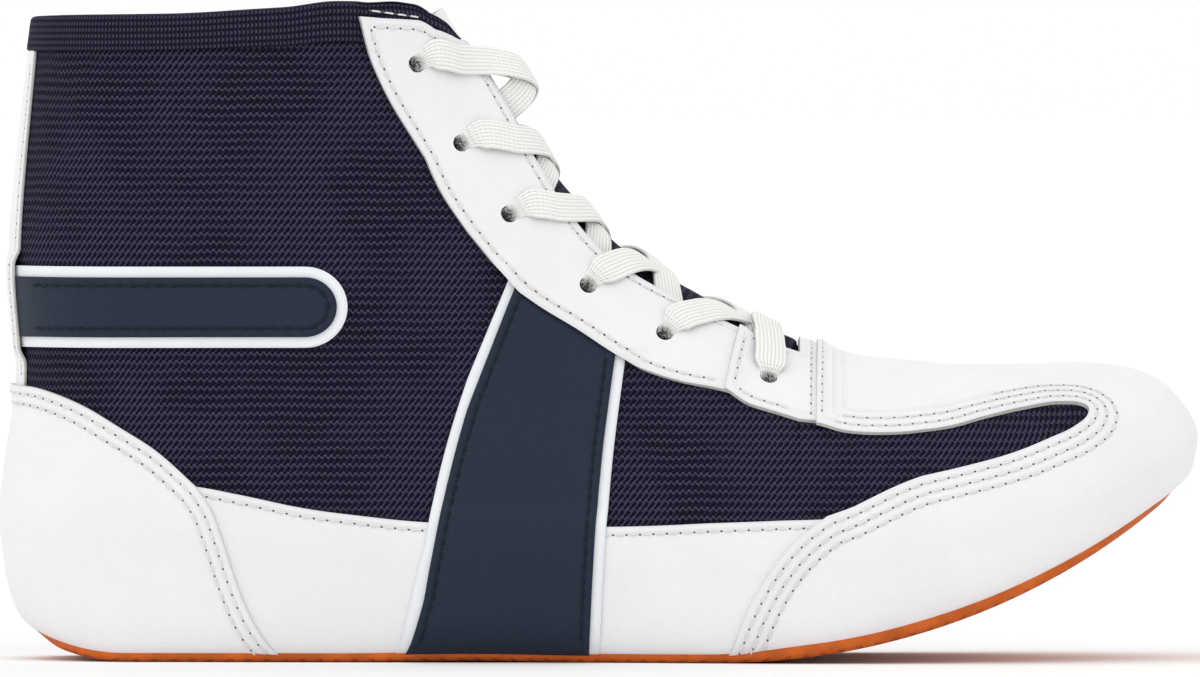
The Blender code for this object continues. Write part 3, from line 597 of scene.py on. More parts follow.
class Value:
    """A shader socket that takes part in Python sums; each sum adds a Math node."""

    def __init__(self, finish, socket):
        self.finish = finish
        self.socket = socket

    def sum(self, operation, first, second=0.0):
        return self.finish.node("ShaderNodeMath", {"operation": operation}, {0: first, 1: second})

    def __add__(self, other):
        return self.sum("ADD", self, other)

    def __radd__(self, other):
        return self.sum("ADD", other, self)

    def __sub__(self, other):
        return self.sum("SUBTRACT", self, other)

    def __rsub__(self, other):
        return self.sum("SUBTRACT", other, self)

    def __mul__(self, other):
        return self.sum("MULTIPLY", self, other)

    def __rmul__(self, other):
        return self.sum("MULTIPLY", other, self)

    def __truediv__(self, other):
        return self.sum("DIVIDE", self, other)

    def __mod__(self, other):
        return self.sum("FLOORED_MODULO", self, other)

    def __abs__(self):
        return self.sum("ABSOLUTE", self)

    def least(self, other):
        return self.sum("MINIMUM", self, other)

    def most(self, other):
        return self.sum("MAXIMUM", self, other)

    def saw(self):
        """0.5 at each whole number and 0 half way between."""
        return abs(self % 1.0 - 0.5)

    def fade(self, start, end):
        """0 up to the start and 1 past the end, smooth between."""
        return self.finish.node("ShaderNodeMapRange", {"interpolation_type": "SMOOTHSTEP"},
                                {"Value": self, "From Min": start, "From Max": end})


class Finish:
    """A material in the making."""

    def __init__(self, name):
        self.material = bpy.data.materials.new(name)
        self.material.use_nodes = True
        self.tree = self.material.node_tree
        self.shader = self.tree.nodes["Principled BSDF"]

    def feed(self, socket, value):
        if isinstance(value, Value):
            self.tree.links.new(value.socket, socket)
        else:
            socket.default_value = value

    def node(self, kind, settings=None, sockets=None, out=0):
        made = self.tree.nodes.new(kind)
        for key, value in (settings or {}).items():
            setattr(made, key, value)
        for key, value in (sockets or {}).items():
            self.feed(made.inputs[key], value)
        return Value(self, made.outputs[out])

    def coat(self, **sockets):
        """Sets the shader's own sockets; _ in a name stands for a space."""
        for key, value in sockets.items():
            self.feed(self.shader.inputs[key.replace("_", " ")], value)
        return self.material

    def spot(self):
        """The place on the object, in millimetres."""
        where = self.node("ShaderNodeTexCoord", out="Object")
        return self.node("ShaderNodeVectorMath", {"operation": "SCALE"}, {0: where, "Scale": 1 / MM})

    def part(self, vector, axis):
        """One coordinate of a vector."""
        return self.node("ShaderNodeSeparateXYZ", None, {"Vector": vector}, axis)

    def cloth(self):
        """The two ways along the cloth, in millimetres."""
        where = self.node("ShaderNodeUVMap", {"uv_map": "cloth"})
        return self.part(where, "X"), self.part(where, "Y")

    def noise(self, where, size, detail=3.0, rough=0.55):
        """Soft noise from 0 to 1 with a feature size in millimetres."""
        return self.node("ShaderNodeTexNoise", None, {"Vector": where, "Scale": 1 / size, "Detail": detail,
                                                      "Roughness": rough})

    def mark(self, name):
        return self.node("ShaderNodeAttribute", {"attribute_name": name}, None, "Fac")

    def mix(self, share, first, second):
        """A colour between two, by the share of the second."""
        first, second = ((*c, 1.0) if isinstance(c, tuple) else c for c in (first, second))
        return self.node("ShaderNodeMix", {"data_type": "RGBA"}, {0: share, 6: first, 7: second}, 2)

    def bump(self, height):
        """A normal from a height in millimetres."""
        return self.node("ShaderNodeBump", None, {"Height": height, "Distance": MM, "Strength": 1.0})


def shaded(colour, share):
    return tuple(c * share for c in colour)


def leather_finish(name, colour, pore_size, pore_depth, roughness, gloss):
    """Grained leather with pulled-in stitch rows; painted shade darkens the stitch troughs and the edges
    where they roll down.
    """
    f = Finish(name)
    where = f.spot()
    edge_mm = f.mark("edge")
    rows = f.mark("rows")
    pores = f.node("ShaderNodeTexVoronoi", {"feature": "DISTANCE_TO_EDGE"},
                   {"Vector": where, "Scale": 1 / pore_size}).fade(0.0, 0.25)
    cloud = f.noise(where, 22.0)
    wrinkle = f.noise(where, 5.0, 4.0)
    fine = f.noise(where, 0.5, 3.0)
    trough = 0.0
    for k, inset in enumerate(STITCH_INSETS):
        pulled = (1 - abs(edge_mm - inset).fade(0.0, 1.0)) * (rows - k).fade(0.0, 1.0)
        trough = pulled + trough
    rolled = 1 - edge_mm.fade(0.0, 1.3)
    tone = f.mix(cloud.fade(0.3, 0.75), shaded(colour, 0.965), colour)
    # Painted shade along the pulled-in stitch troughs
    tone = f.mix(trough * 0.10, tone, shaded(colour, 0.62))
    # Painted shade on the edges where the leather rolls down
    tone = f.mix(rolled * 0.16, tone, shaded(colour, 0.7))
    height = pores * pore_depth + fine * 0.02 + wrinkle * 0.10 - trough * 0.20 - rolled * rolled * 0.22
    return f.coat(Base_Color=tone, Roughness=roughness + 0.16 * (fine - 0.5) - 0.06 * cloud,
                  Normal=f.bump(height), Specular_IOR_Level=gloss)


def cut_edge_finish(name, colour):
    """Raw edge of cut leather: dull and fibrous."""
    f = Finish(name)
    fibre = f.noise(f.spot(), 0.35, 4.0, 0.7)
    tone = f.mix(fibre.fade(0.3, 0.7), shaded(colour, 0.72), colour)
    return f.coat(Base_Color=tone, Roughness=0.82 + 0.12 * fibre, Normal=f.bump(fibre * 0.15))


def knit_finish(name, sizes, colours):
    """Knit of deep zigzag rows: a light yarn over a dark ground, crossed by dimmer rows in places."""
    f = Finish(name)
    ground, yarn = colours.knit_ground, colours.knit_yarn
    across, up = f.cloth()
    where = f.spot()
    drift = f.noise(where, 9.0, 2.0)
    lane = up / sizes.knit_row + drift * 0.5
    column = across / sizes.knit_wave + drift * 0.6
    zig = column.saw() * 0.9
    bright = 1 - (lane + zig).saw().fade(0.02, 0.12)
    hatch = 1 - abs((column - lane) % 1.0 - 0.25).fade(0.03, 0.19)
    patches = f.noise(where, 24.0, 2.0).fade(0.38, 0.62)
    speck = f.noise(where, 0.7, 2.0)
    yarn_share = bright * (1.0 - 0.35 * patches) * (0.35 + speck * 1.1)
    under = f.mix(hatch * (0.14 + 0.38 * patches), ground, yarn)
    tone = f.mix(yarn_share.least(1.0), under, yarn)
    return f.coat(Base_Color=tone, Roughness=0.86 - 0.10 * bright,
                  Normal=f.bump(bright * 0.20 + hatch * 0.10), Specular_IOR_Level=0.12)


def tape_finish(name, ground, yarn):
    """Binding tape: fine ribs along it, crossed by small slanting stitches."""
    f = Finish(name)
    along, across = f.cloth()
    rib = (across / 1.45).saw() * 2.0
    slant = (along / 0.95 + rib * 0.5).saw() * 2.0
    raised = 1 - rib.fade(0.15, 0.95)
    speck = f.noise(f.spot(), 0.6, 2.0)
    tone = f.mix((raised * (1 - slant.fade(0.1, 0.8)) * (0.4 + speck)).least(1.0) * 0.52, ground, yarn)
    return f.coat(Base_Color=tone, Roughness=0.84 + 0.08 * speck,
                  Normal=f.bump(raised * 0.16 + (1 - slant) * 0.07), Specular_IOR_Level=0.12)


def lace_finish(name, colour, ribs):
    """Flat woven lace: ribs along it with fine plaited yarns across them, darkened with painted shade where
    it dives into an eyelet.
    """
    f = Finish(name)
    along, across = f.cloth()
    rib = (across * ribs).saw() * 2.0
    plait = (along / 0.85 + rib * 0.55).saw() * 2.0
    crown = 1 - rib * rib
    speck = f.noise(f.spot(), 0.5, 2.0)
    hole = f.mark("hole")
    shade = (1 - crown) * 0.15 + plait * 0.13 + speck * 0.06
    tone = f.mix(shade.least(1.0), colour, shaded(colour, 0.55))
    # Painted shade where the lace dives into an eyelet
    tone = f.mix((hole * (0.6 + 0.7 * speck.fade(0.35, 0.65))).least(0.95), tone, shaded(colour, 0.02))
    return f.coat(Base_Color=tone, Roughness=0.78 + 0.1 * speck,
                  Normal=f.bump(crown * 0.22 + (1 - plait) * 0.09), Specular_IOR_Level=0.3)


def lining_finish(name, colour):
    """Dark lining: a fine plain weave."""
    f = Finish(name)
    across, up = f.cloth()
    grain = f.noise(f.spot(), 0.7, 3.0)
    thread = ((across / 0.9).saw() * 2.0).most((up / 0.9).saw() * 2.0)
    tone = f.mix(thread * 0.5 + grain * 0.3, shaded(colour, 0.7), shaded(colour, 1.35))
    return f.coat(Base_Color=tone, Roughness=0.9 - 0.08 * grain, Normal=f.bump(thread * 0.12 + grain * 0.06),
                  Specular_IOR_Level=0.2)


def foam_finish(name, colour):
    """Raw foam at a cut edge."""
    f = Finish(name)
    cells = f.node("ShaderNodeTexVoronoi", None, {"Vector": f.spot(), "Scale": 2.6}).fade(0.0, 0.8)
    tone = f.mix(cells, colour, shaded(colour, 0.6))
    return f.coat(Base_Color=tone, Roughness=0.9 + 0.05 * cells, Normal=f.bump(cells * 0.15))


def gum_finish(name, colour):
    """Gum rubber: mottled, dull where it is rubbed, with a fine slanting tread underneath whose grooves are
    darkened with painted shade.
    """
    f = Finish(name)
    where = f.spot()
    mottle = f.noise(where, 6.0, 4.0)
    fine = f.noise(where, 0.6, 3.0)
    facing = f.node("ShaderNodeNewGeometry", out="Normal")
    under = (-1 * f.part(facing, "Z")).fade(0.55, 0.75)
    chevron = (f.part(where, "Y") / 13.0).saw() * 2.0
    groove = (1 - (f.part(where, "X") / 4.2 + chevron * 1.1).saw().fade(0.07, 0.16)) * under
    tone = f.mix(mottle.fade(0.3, 0.75), shaded(colour, 0.8), shaded(colour, 1.12))
    # Painted shade in the tread grooves
    tone = f.mix(groove * 0.5, tone, shaded(colour, 0.45))
    return f.coat(Base_Color=tone, Roughness=0.52 + 0.2 * (mottle - 0.5) + 0.1 * fine,
                  Normal=f.bump(fine * 0.03 + mottle * 0.08 - groove * 0.7), Specular_IOR_Level=0.2)


def thread_finish(name, colour, needle_hole_shade):
    """Sewing thread, with dark caps of painted shade at the needle holes between its stitches."""
    f = Finish(name)
    twist = f.noise(f.spot(), 0.25, 2.0)
    tone = f.mix(twist.fade(0.25, 0.75), shaded(colour, 0.78), colour)
    # Painted shade on the caps at the needle holes
    tone = f.mix(f.mark("hole"), tone, needle_hole_shade)
    return f.coat(Base_Color=tone, Roughness=0.66 + 0.2 * twist, Normal=f.bump(twist * 0.06),
                  Specular_IOR_Level=0.3)


def floor_finish(name, colour):
    """Pale matt studio floor."""
    f = Finish(name)
    cloud = f.noise(f.node("ShaderNodeTexCoord", out="Object"), 0.4)
    return f.coat(Base_Color=f.mix(cloud, shaded(colour, 0.985), colour), Roughness=0.85 + 0.1 * cloud,
                  Specular_IOR_Level=0.1)


# Panels


STITCH_INSETS = (2.0, 4.4, 6.8)
Panel = namedtuple("Panel", "name node grids lift thickness borders rows holes rows_mark")
Row = namedtuple("Row", "line inset start_trim end_trim")


def tucked(places):
    """Share of a lift that is left close to the sole, where pieces are pulled in."""
    return 0.35 + 0.65 * smoothstep(places[..., 1] / 0.07)


def flat_lift(base):
    def lift(places):
        return base * tucked(places)
    return lift


def climbing(base, lines, rise=STEP_UP, reach=STEP_REACH):
    """A lift that climbs onto a neighbour along the given lines."""
    targets = np.concatenate([on_form(line) for line in lines])

    def lift(places):
        near = nearest(on_form(places), targets)
        return (base + rise * (1 - smoothstep(near / reach))) * tucked(places)
    return lift


def both(*lines):
    """Lines with their copies on the inner side."""
    return [*lines, *map(mirrored, lines)]


def on_inner(row):
    """The same row of stitches on the inner side."""
    return Row(mirrored(row.line), row.inset, row.end_trim, row.start_trim)


def side_panels(name, node, grid, lift_of, thickness, borders, rows, holes, rows_mark):
    """A panel for each side; lift_of is given the function that brings lines to the panel's own side."""
    outer = Panel(f"{name}_outer", f"{node}_outer", [grid], lift_of(np.asarray), thickness, borders, rows,
                  holes, rows_mark)
    inner = Panel(f"{name}_inner", f"{node}_inner", [mirrored(grid)], lift_of(mirrored), thickness,
                  [mirrored(line) for line in borders], [on_inner(row) for row in rows], holes, rows_mark)
    return [outer, inner]


def toe_cap(thick):
    """Toe cap: it runs under and over the pointed inlay and joins in front of the inlay's tip."""
    along, rows = even(70), even(42)
    lower_edge = edge(INLAY_LOWER, along)
    upper_edge = edge(INLAY_UPPER, along)
    upper_edge[-1] = lower_edge[-1]
    tip_q, tip_v = lower_edge[-1]
    nose = level(tip_q, HALF, tip_v, 30)[1:]
    back = edge(TOE_BACK, rows)
    back[0, 1] = 0.0
    lower_top = np.concatenate([lower_edge, nose])
    upper_low = np.concatenate([upper_edge, nose])
    lower = patch(level(back[0, 0], HALF, 0.0, len(lower_top)), lower_top, rows, start=back)
    upper = patch(upper_low, level(upper_edge[0, 0], HALF, 1.0, len(upper_low)), even(28))
    seam = upper[0]
    opening = np.concatenate([back, lower_edge[1:], upper_edge[::-1][1:]])
    sewn = [Row(opening, -inset, 1, end_trim) for inset, end_trim in zip(STITCH_INSETS, (2, 4, 40))]
    sewn.append(Row(seam, -1.3, 3, 0))
    return Panel("leather_toe_cap", "toe_cap", [lower, mirrored(lower), upper, mirrored(upper)],
                 climbing(ON_CLOTH, both(back, seam)), thick, both(opening, seam),
                 sewn + [on_inner(row) for row in sewn], [], 3.0)


def facing(thick):
    """Throat facing: it frames the front end of the throat and lies over the eyestays' ends."""
    lower = edge(FACING_LOWER, even(24))
    front = locate([FACING_FRONT])[0]
    slot = throat_edge(np.linspace(*FACING_SLOT_X, 24), SLOT_LAP)
    share = even(10)[:, None]
    nose_low = lower[-1] + (front - lower[-1]) * share
    nose_slot = slot[-1] + (np.array([front[0], slot[-1, 1]]) - slot[-1]) * share
    ridge = np.stack([nose_slot[:, 0], np.ones(10)], axis=-1)
    cheek = patch(lower, slot, even(24))
    nose = patch(nose_low, nose_slot, even(24))
    bridge = patch(nose_slot, ridge, even(12))
    rear, mouth = cheek[0], bridge[0]
    seam_q = locate([INLAY_UPPER[0]])[0, 0]
    felled = np.stack([np.full(20, seam_q), np.linspace(nose_low[4, 1], 1.0, 20)], axis=-1)
    sewn = [Row(rear, -SEAM_INSET, 2, 2), Row(lower, SEAM_INSET, 2, 2), Row(slot, -2.6, 3, 1),
            Row(felled, 1.2, 1, 0)]
    return Panel("leather_throat_facing", "throat_facing",
                 [cheek, nose, bridge, mirrored(cheek), mirrored(nose), mirrored(bridge)],
                 climbing(ON_CLOTH, both(rear)), thick, both(rear, lower, nose_low, slot, mouth),
                 sewn + [row._replace(line=mirrored(row.line)) for row in sewn], EYELETS[5:], 1.0)


def eyestays(thick):
    """Eyestays: one each side of the throat, from the collar to under the facing."""
    shares = even(160)
    outer_edge = edge(EYESTAY_EDGE, shares)
    slot = throat_edge(np.linspace(*EYESTAY_SLOT_X, len(shares)), SLOT_LAP)
    places = patch(outer_edge, slot, even(24))
    over_saddle = edge(SADDLE_TOP, even(30))
    rim = np.concatenate([places[0], slot[1:]])

    def lift_of(own):
        lifts = [climbing(ON_CLOTH, [own(over_saddle)], 1.7, 6.0), climbing(0.0, [own(rim[:34])], 0.7, 9.0),
                 climbing(0.0, [own(outer_edge[:8])], 0.6, 5.0)]
        return lambda spots: sum(lift(spots) for lift in lifts)
    return side_panels("leather_eyestay", "eyestay", places, lift_of, thick, [outer_edge, rim],
                       [Row(outer_edge, SEAM_INSET, 3, 4), Row(rim, -2.2, 3, 6)], EYELETS[:5], 1.0)


def collar_rim(q):
    """Height v of the collar's rim, which falls along the eyestays' top edge into the throat."""
    q = np.abs(q)
    corner_q = q_at(THROAT_X[0])
    corner_v = v_at_reach(corner_q, THROAT_HALF[0])[0]
    on_collar = np.interp(q, [q_at(EYESTAY_EDGE[0][0]), corner_q], [1.0, corner_v])
    return np.where(q > corner_q, v_at_reach(q, throat_half(station(q).base_x)), on_collar)


def collar_seam():
    """A seam through the binding, just over the eyestays' top edge."""
    q = np.linspace(q_at(COLLAR_SEAM_X[0]), q_at(COLLAR_SEAM_X[1]), 40)
    line = np.stack([q, collar_rim(q) + COLLAR_SEAM_RISE], axis=-1)

    def on_tape(places):
        return np.interp(on_form(places)[..., 0], *COLLAR_SEAM_LIFT)
    sewn = [Row(seam, 0.0, 0, 0) for seam in both(line)]
    return Panel("collar_seam", None, [], on_tape, 0.0, [], sewn, [], 0.0)


def standing(rear, front, top, rows):
    """A grid from the sole up to a top edge, between a rear and a front edge that are made to meet it."""
    rear[0, 1] = front[0, 1] = 0.0
    rear[-1], front[-1] = top[0], top[-1]
    return patch(level(rear[0, 0], front[0, 0], 0.0, len(top)), top, rows, start=rear, end=front)


def foxings(thick):
    """Foxing: the low band along each side, under the counter and the toe cap at its ends."""
    rows = even(34)
    rear = edge(COUNTER_FRONT, rows, shift_x=-RUN_UNDER)
    front = edge(TOE_BACK, rows, shift_x=RUN_UNDER)
    top = edge(FOXING_TOP, even(140))
    places = standing(rear, front, top, rows)
    return side_panels("leather_foxing", "foxing", places, lambda own: flat_lift(ON_CLOTH), thick, [top],
                       [Row(top, -SEAM_INSET, 5, 5)], [], 1.0)


def counter(thick):
    """Heel counter: it wraps the heel and lies over the foxing's rear ends."""
    rows = even(48)
    front = edge(COUNTER_FRONT, rows)
    front[0, 1] = 0.0
    back = np.array([[0.0, v_at_height(0.0, COUNTER_BACK_Z)[0]]])
    top = through(np.concatenate([back, locate(COUNTER_TOP)[::-1]]), even(64))
    half = patch(level(0.0, front[0, 0], 0.0, len(top)), top, rows, end=front)
    outer_line = np.concatenate([front, top[::-1][1:]])
    line = np.concatenate([outer_line, (outer_line * (-1, 1))[::-1][1:]])
    over = [front, front * (-1, 1), top[:10], top[:10] * (-1, 1)]
    return Panel("leather_heel_counter", "heel_counter", [half, mirrored(half) - (LOOP, 0)],
                 climbing(ON_CLOTH, over, STEP_UP, 6.0), thick, [line],
                 [Row(line, inset, 1, 1) for inset in STITCH_INSETS[:2]], [], 2.0)


def back_strip(thick):
    """Back strip: up the heel from under the counter to under the binding, over the ends of the bands."""
    q = np.linspace(-STRIP_HALF_Q, STRIP_HALF_Q, 18)
    places = patch(at_height(q, STRIP_LOW_Z), at_height(q, STRIP_HIGH_Z), even(76))

    def lift(spots):
        z = on_form(spots)[..., 2]
        over_band = smoothstep((z - ANKLE_LOW_Z + 4) / 4) * smoothstep((ANKLE_HIGH_Z + 4 - z) / 4)
        near_edge = smoothstep(abs(spots[..., 0]) / STRIP_HALF_Q * 1.6 - 0.4)
        return ON_CLOTH + 1.5 * over_band * (0.35 + 0.65 * near_edge)
    left, right = places[0], places[-1]
    return Panel("leather_back_strip", "back_strip", [places], lift, thick * 0.8, [left, right],
                 [Row(left, -1.6, 5, 4), Row(right, 1.6, 5, 4)], [], 0.0)


def foxing_step(places):
    """1 over the foxing and 0 over the cloth above it."""
    points = on_form(places)
    top = np.interp(points[..., 0], *np.array(FOXING_TOP).T)
    return 1 - smoothstep((points[..., 2] - top) / 5.0)


def stacked(base, on_foxing):
    def lift(places):
        return (base + on_foxing * foxing_step(places)) * tucked(places)
    return lift


def layers(name, backing_name, sizes):
    """Name, inset, base and depth of a white backing and of the navy panel on it."""
    return ((backing_name, 0.0, ON_CLOTH, sizes.backing_thickness),
            (name, BORDER, ON_CLOTH + sizes.backing_thickness, sizes.navy_thickness))


def saddles(sizes):
    """A broad panel over each side of the waist: navy leather on a wider white backing."""
    made = []
    rows = even(76)
    for name, inset, base, depth in layers("saddle", "saddle_backing", sizes):
        rear = edge(SADDLE_REAR, rows, shift_x=inset)
        front = edge(SADDLE_FRONT, rows, shift_x=-inset)
        top = edge(SADDLE_TOP, even(42), trim=inset)
        places = standing(rear, front, top, rows)
        sewn = [Row(rear, -SEAM_INSET, 3, 3), Row(front, SEAM_INSET, 3, 3)] if inset else []
        made += side_panels(f"panel_{name}", name, places, lambda own: stacked(base, sizes.leather_thickness),
                            depth, [rear, front, top], sewn, [], float(len(sewn) > 0))
    return made


def ankle_bands(sizes):
    """A level band from under the back strip round each side of the ankle, with a round tip."""
    turn = np.linspace(-math.pi / 2, math.pi / 2, 22)
    made = []
    for name, inset, base, depth in layers("ankle_band", "ankle_backing", sizes):
        low_z, high_z = ANKLE_LOW_Z + inset, ANKLE_HIGH_Z - inset
        reach = ANKLE_TIP_X - inset - ANKLE_STRAIGHT_X
        tip = locate(np.stack([ANKLE_STRAIGHT_X + reach * np.cos(turn),
                               (low_z + high_z) / 2 + (high_z - low_z) / 2 * np.sin(turn)], axis=-1))
        q = np.linspace(STRIP_HALF_Q - 0.12, tip[0, 0], 72)
        low, high = at_height(q, low_z), at_height(q, high_z)
        low[-1], high[-1] = tip[0], tip[-1]
        places = patch(low, high, even(len(tip)), end=tip)
        outline = np.concatenate([low, tip[1:], high[::-1][1:]])
        sewn = [Row(outline, SEAM_INSET, 9, 9)] if inset else []
        made += side_panels(f"panel_{name}", name, places, lambda own: flat_lift(base), depth,
                            [outline], sewn, [], float(len(sewn) > 0))
    return made


def leather_set(thick):
    return [counter(thick), *foxings(thick), toe_cap(thick), *eyestays(thick), facing(thick),
            back_strip(thick)]


def navy_set(sizes):
    return saddles(sizes) + ankle_bands(sizes)


def eyelet_places(points):
    """Places of the given eyelets on both sides."""
    outer = locate(points)
    return np.concatenate([outer, np.stack([LOOP - outer[:, 0], outer[:, 1]], axis=-1)])


def make_panel(panel, finishes, hole_radius):
    """A cut panel with thickness, soft edges and round holes, laid on the form."""
    grids = [draped(grid, panel.lift(grid)) for grid in panel.grids]
    holes = []
    if panel.holes:
        spots = eyelet_places(panel.holes)
        holes = draped(spots, panel.lift(spots))
    obj = sheet(panel.name, grids, holes=holes, hole_radius=hole_radius, weld=PANEL_WELD)
    # Distances to the borders: the finish places its stitch troughs by them and darkens troughs and rolled
    # edges with painted shade
    targets = np.concatenate([draped(line, panel.lift(line)) for line in panel.borders])
    mark(obj, "edge", nearest(corners_of(obj), targets))
    mark(obj, "rows", np.full(len(obj.data.vertices), panel.rows_mark))
    thicken(obj, panel.thickness, 1, rim=1)
    hand_over(obj, finishes, [panel.node])
    return obj


# Stitches


STITCH_SHARES = np.array([0.0, 0.14, 0.5, 0.86, 1.0])
STITCH_HEIGHTS = np.array([-0.22, 0.06, 0.15, 0.06, -0.22])
STITCH_GIRTHS = np.array([0.55, 0.95, 1.0, 0.95, 0.55])
STITCH_SIDES = 6
NEEDLE_HOLE_HALF = (0.34, 0.24)
NEEDLE_HOLE_TOP = 0.06
NEEDLE_HOLE_DEPTH = 0.16


def stitch_row(panel, row, pitch, radius):
    """Rings of the stitches of a row and of the needle-hole caps between them, which are coloured with
    painted shade.
    """
    line = inset_line(row.line, row.inset)
    run = run_lengths(on_form(line))
    usable = run[-1] - row.start_trim - row.end_trim
    count = int(usable / pitch)
    starts = row.start_trim + (usable - count * pitch) / 2 + pitch * np.arange(count)

    def at(distance, height):
        spots = np.stack([np.interp(distance, run, column) for column in line.T], axis=-1)
        points = draped(spots, panel.lift(spots) + panel.thickness + height)
        return points, form_normal(spots[..., 0], spots[..., 1])
    centres, normals = at(starts[:, None] + pitch * (0.13 + 0.74 * STITCH_SHARES), STITCH_HEIGHTS[None])
    ahead = unit(np.gradient(centres, axis=1))
    side = unit(np.cross(normals, ahead))
    turn = np.arange(STITCH_SIDES) * 2 * math.pi / STITCH_SIDES
    out = np.cross(ahead, side)
    rings = (centres[:, :, None] + (radius * STITCH_GIRTHS)[None, :, None, None]
             * (side[:, :, None] * np.cos(turn)[:, None] - out[:, :, None] * np.sin(turn)[:, None]))
    spots, normals = at(starts, np.full(count, NEEDLE_HOLE_TOP))
    way = ahead[:, 0]
    way = unit(way - normals * (way * normals).sum(-1, keepdims=True))
    side = np.cross(normals, way)
    long, wide = NEEDLE_HOLE_HALF
    top = (spots[:, None] + way[:, None] * np.cos(turn)[:, None] * long
           + side[:, None] * np.sin(turn)[:, None] * wide)
    return rings, np.stack([top, top - normals[:, None] * NEEDLE_HOLE_DEPTH], axis=1)


def tube_faces(rings, start):
    """Walls and end caps of tubes that are given as rings of corners."""
    index = start + np.arange(rings[..., 0].size).reshape(rings.shape[:3])
    ahead = np.roll(index, -1, axis=2)
    walls = np.stack([index[:, :-1], ahead[:, :-1], ahead[:, 1:], index[:, 1:]], axis=-1).reshape(-1, 4)
    return walls.tolist() + index[:, 0, ::-1].tolist() + index[:, -1].tolist()


def make_stitching(name, panels, pitch, radius, finish):
    """All stitches of the panels as one mesh."""
    rings, holes = [], []
    for panel in panels:
        for row in panel.rows:
            made = stitch_row(panel, row, pitch, radius)
            rings.append(made[0])
            holes.append(made[1])
    rings, holes = np.concatenate(rings), np.concatenate(holes)
    thread_spots, hole_spots = rings.reshape(-1, 3), holes.reshape(-1, 3)
    data = bpy.data.meshes.new(name)
    data.from_pydata(place(np.concatenate([thread_spots, hole_spots])).tolist(), [],
                     tube_faces(rings, 0) + tube_faces(holes, len(thread_spots)))
    data.shade_smooth()
    obj = bpy.data.objects.new(name, data)
    bpy.context.scene.collection.objects.link(obj)
    # The needle-hole caps take the thread finish's painted shade
    mark(obj, "hole", np.repeat([0.0, 1.0], [len(thread_spots), len(hole_spots)]))
    hand_over(obj, [finish], [])
    return obj


# Throat measure and the lace


RIDGE = form(q_at(np.linspace(RIDGE_START_X, RIDGE_END_X, 361)), 1.0)[:, [0, 2]]
RIDGE_RUN = run_lengths(RIDGE)


def throat_places(run, reach):
    """Places at a run down the ridge of the throat and a reach to its side, measured square to it."""
    base = np.stack([np.interp(run, RIDGE_RUN, RIDGE[:, 0]), np.interp(run, RIDGE_RUN, RIDGE[:, 1])], axis=-1)
    ahead = np.stack([np.interp(run, RIDGE_RUN, column) for column in np.gradient(RIDGE, axis=0).T], axis=-1)
    inward = np.stack([ahead[:, 1], -ahead[:, 0]], axis=-1) / np.linalg.norm(ahead, axis=1, keepdims=True)
    shallow, deep = np.zeros(len(base)), np.full(len(base), DEEPEST_LACE)
    for _ in range(HALVINGS):
        depth = (shallow + deep) / 2
        spot = base + inward * depth[:, None]
        q = q_at(spot[:, 0])
        v = v_at_reach(q, reach)
        outside = spot[:, 1] > profile(station(q), v)[1]
        shallow = np.where(outside, depth, shallow)
        deep = np.where(outside, deep, depth)
    return q, v


def eyelet_spots():
    """Run and reach of each eyelet in the throat's own measure."""
    places = locate(EYELETS)
    run = RIDGE_RUN[np.linalg.norm(np.array(EYELETS)[:, None] - RIDGE, axis=2).argmin(1)]
    return np.stack([run, profile(station(places[:, 0]), places[:, 1])[0]], axis=-1)


def half_at(run):
    """Half the throat's width at a run down its ridge."""
    return float(throat_half(np.interp(run, RIDGE_RUN, RIDGE[:, 0]) - 4.0))


def strand(k, side, spots, lap):
    """Rows (run, reach, lift, eyelet) from an eyelet over the throat and under the far edge to the next."""
    run, reach = spots[k]
    next_run, next_reach = spots[k + 1]
    step = next_run - run
    leaves = LACE_LEAVES[k]
    half, next_half = half_at(run + leaves * step), half_at(run + 0.92 * step)
    rows = [(run, side * reach, LACE_IN_EYELET, k + 1),
            (run + 0.1 * leaves * step, side * (reach - 2.0), 2.0, 0),
            (run + leaves * step, side * (half + 1.5), LACE_ON_LEATHER, 0)]
    if k == 0:
        rows += [(run + share * step, side * out, lift + lap * laps, 0)
                 for share, out, lift, laps in LACE_LOOP]
    else:
        crosses, at_ridge = LACE_CROSSES[k]
        dives = run + (1 + crosses) / 2 * step
        rows += [(run + crosses * step, 0.0, at_ridge + lap, 0),
                 (dives, -side * (half_at(dives) - 5.0), -1.6, 0)]
    return rows + [(run + 0.96 * step, -side * (next_half + 1.5), LACE_UNDER_LEATHER, 0),
                   (next_run - 0.01 * step, -side * (next_reach - 1.4), LACE_UNDER_LEATHER, 0)]


def lace_route():
    """The whole lace: down from one top eyelet, across the bar and up to the other."""
    spots = eyelet_spots()
    last = len(EYELETS) - 1
    down, up = [], []
    for k in range(last):
        side = 1 if k % 2 == 0 else -1
        down += strand(k, side, spots, LACE_LAP if side == LACE_OVER[k] else 0.0)
        up += strand(k, -side, spots, LACE_LAP if side != LACE_OVER[k] else 0.0)
    run, reach = spots[last]
    side = 1 if last % 2 == 0 else -1
    half_bar = [(run, side * reach, LACE_IN_EYELET, last + 1), (run - 0.6, side * (reach - 2.0), 2.0, 0)]
    half_bar += [(run - before, side * out, lift, 0) for before, out, lift in LACE_BAR]
    bar = half_bar + [(a, -b, *c) for a, b, *c in half_bar[::-1]]
    run, reach = spots[0]
    tail = (run + 1.0, reach - 2.0, -3.2, 0)
    return np.array([tail] + down + bar + up[::-1] + [(tail[0], -tail[1], tail[2], 0)], float)


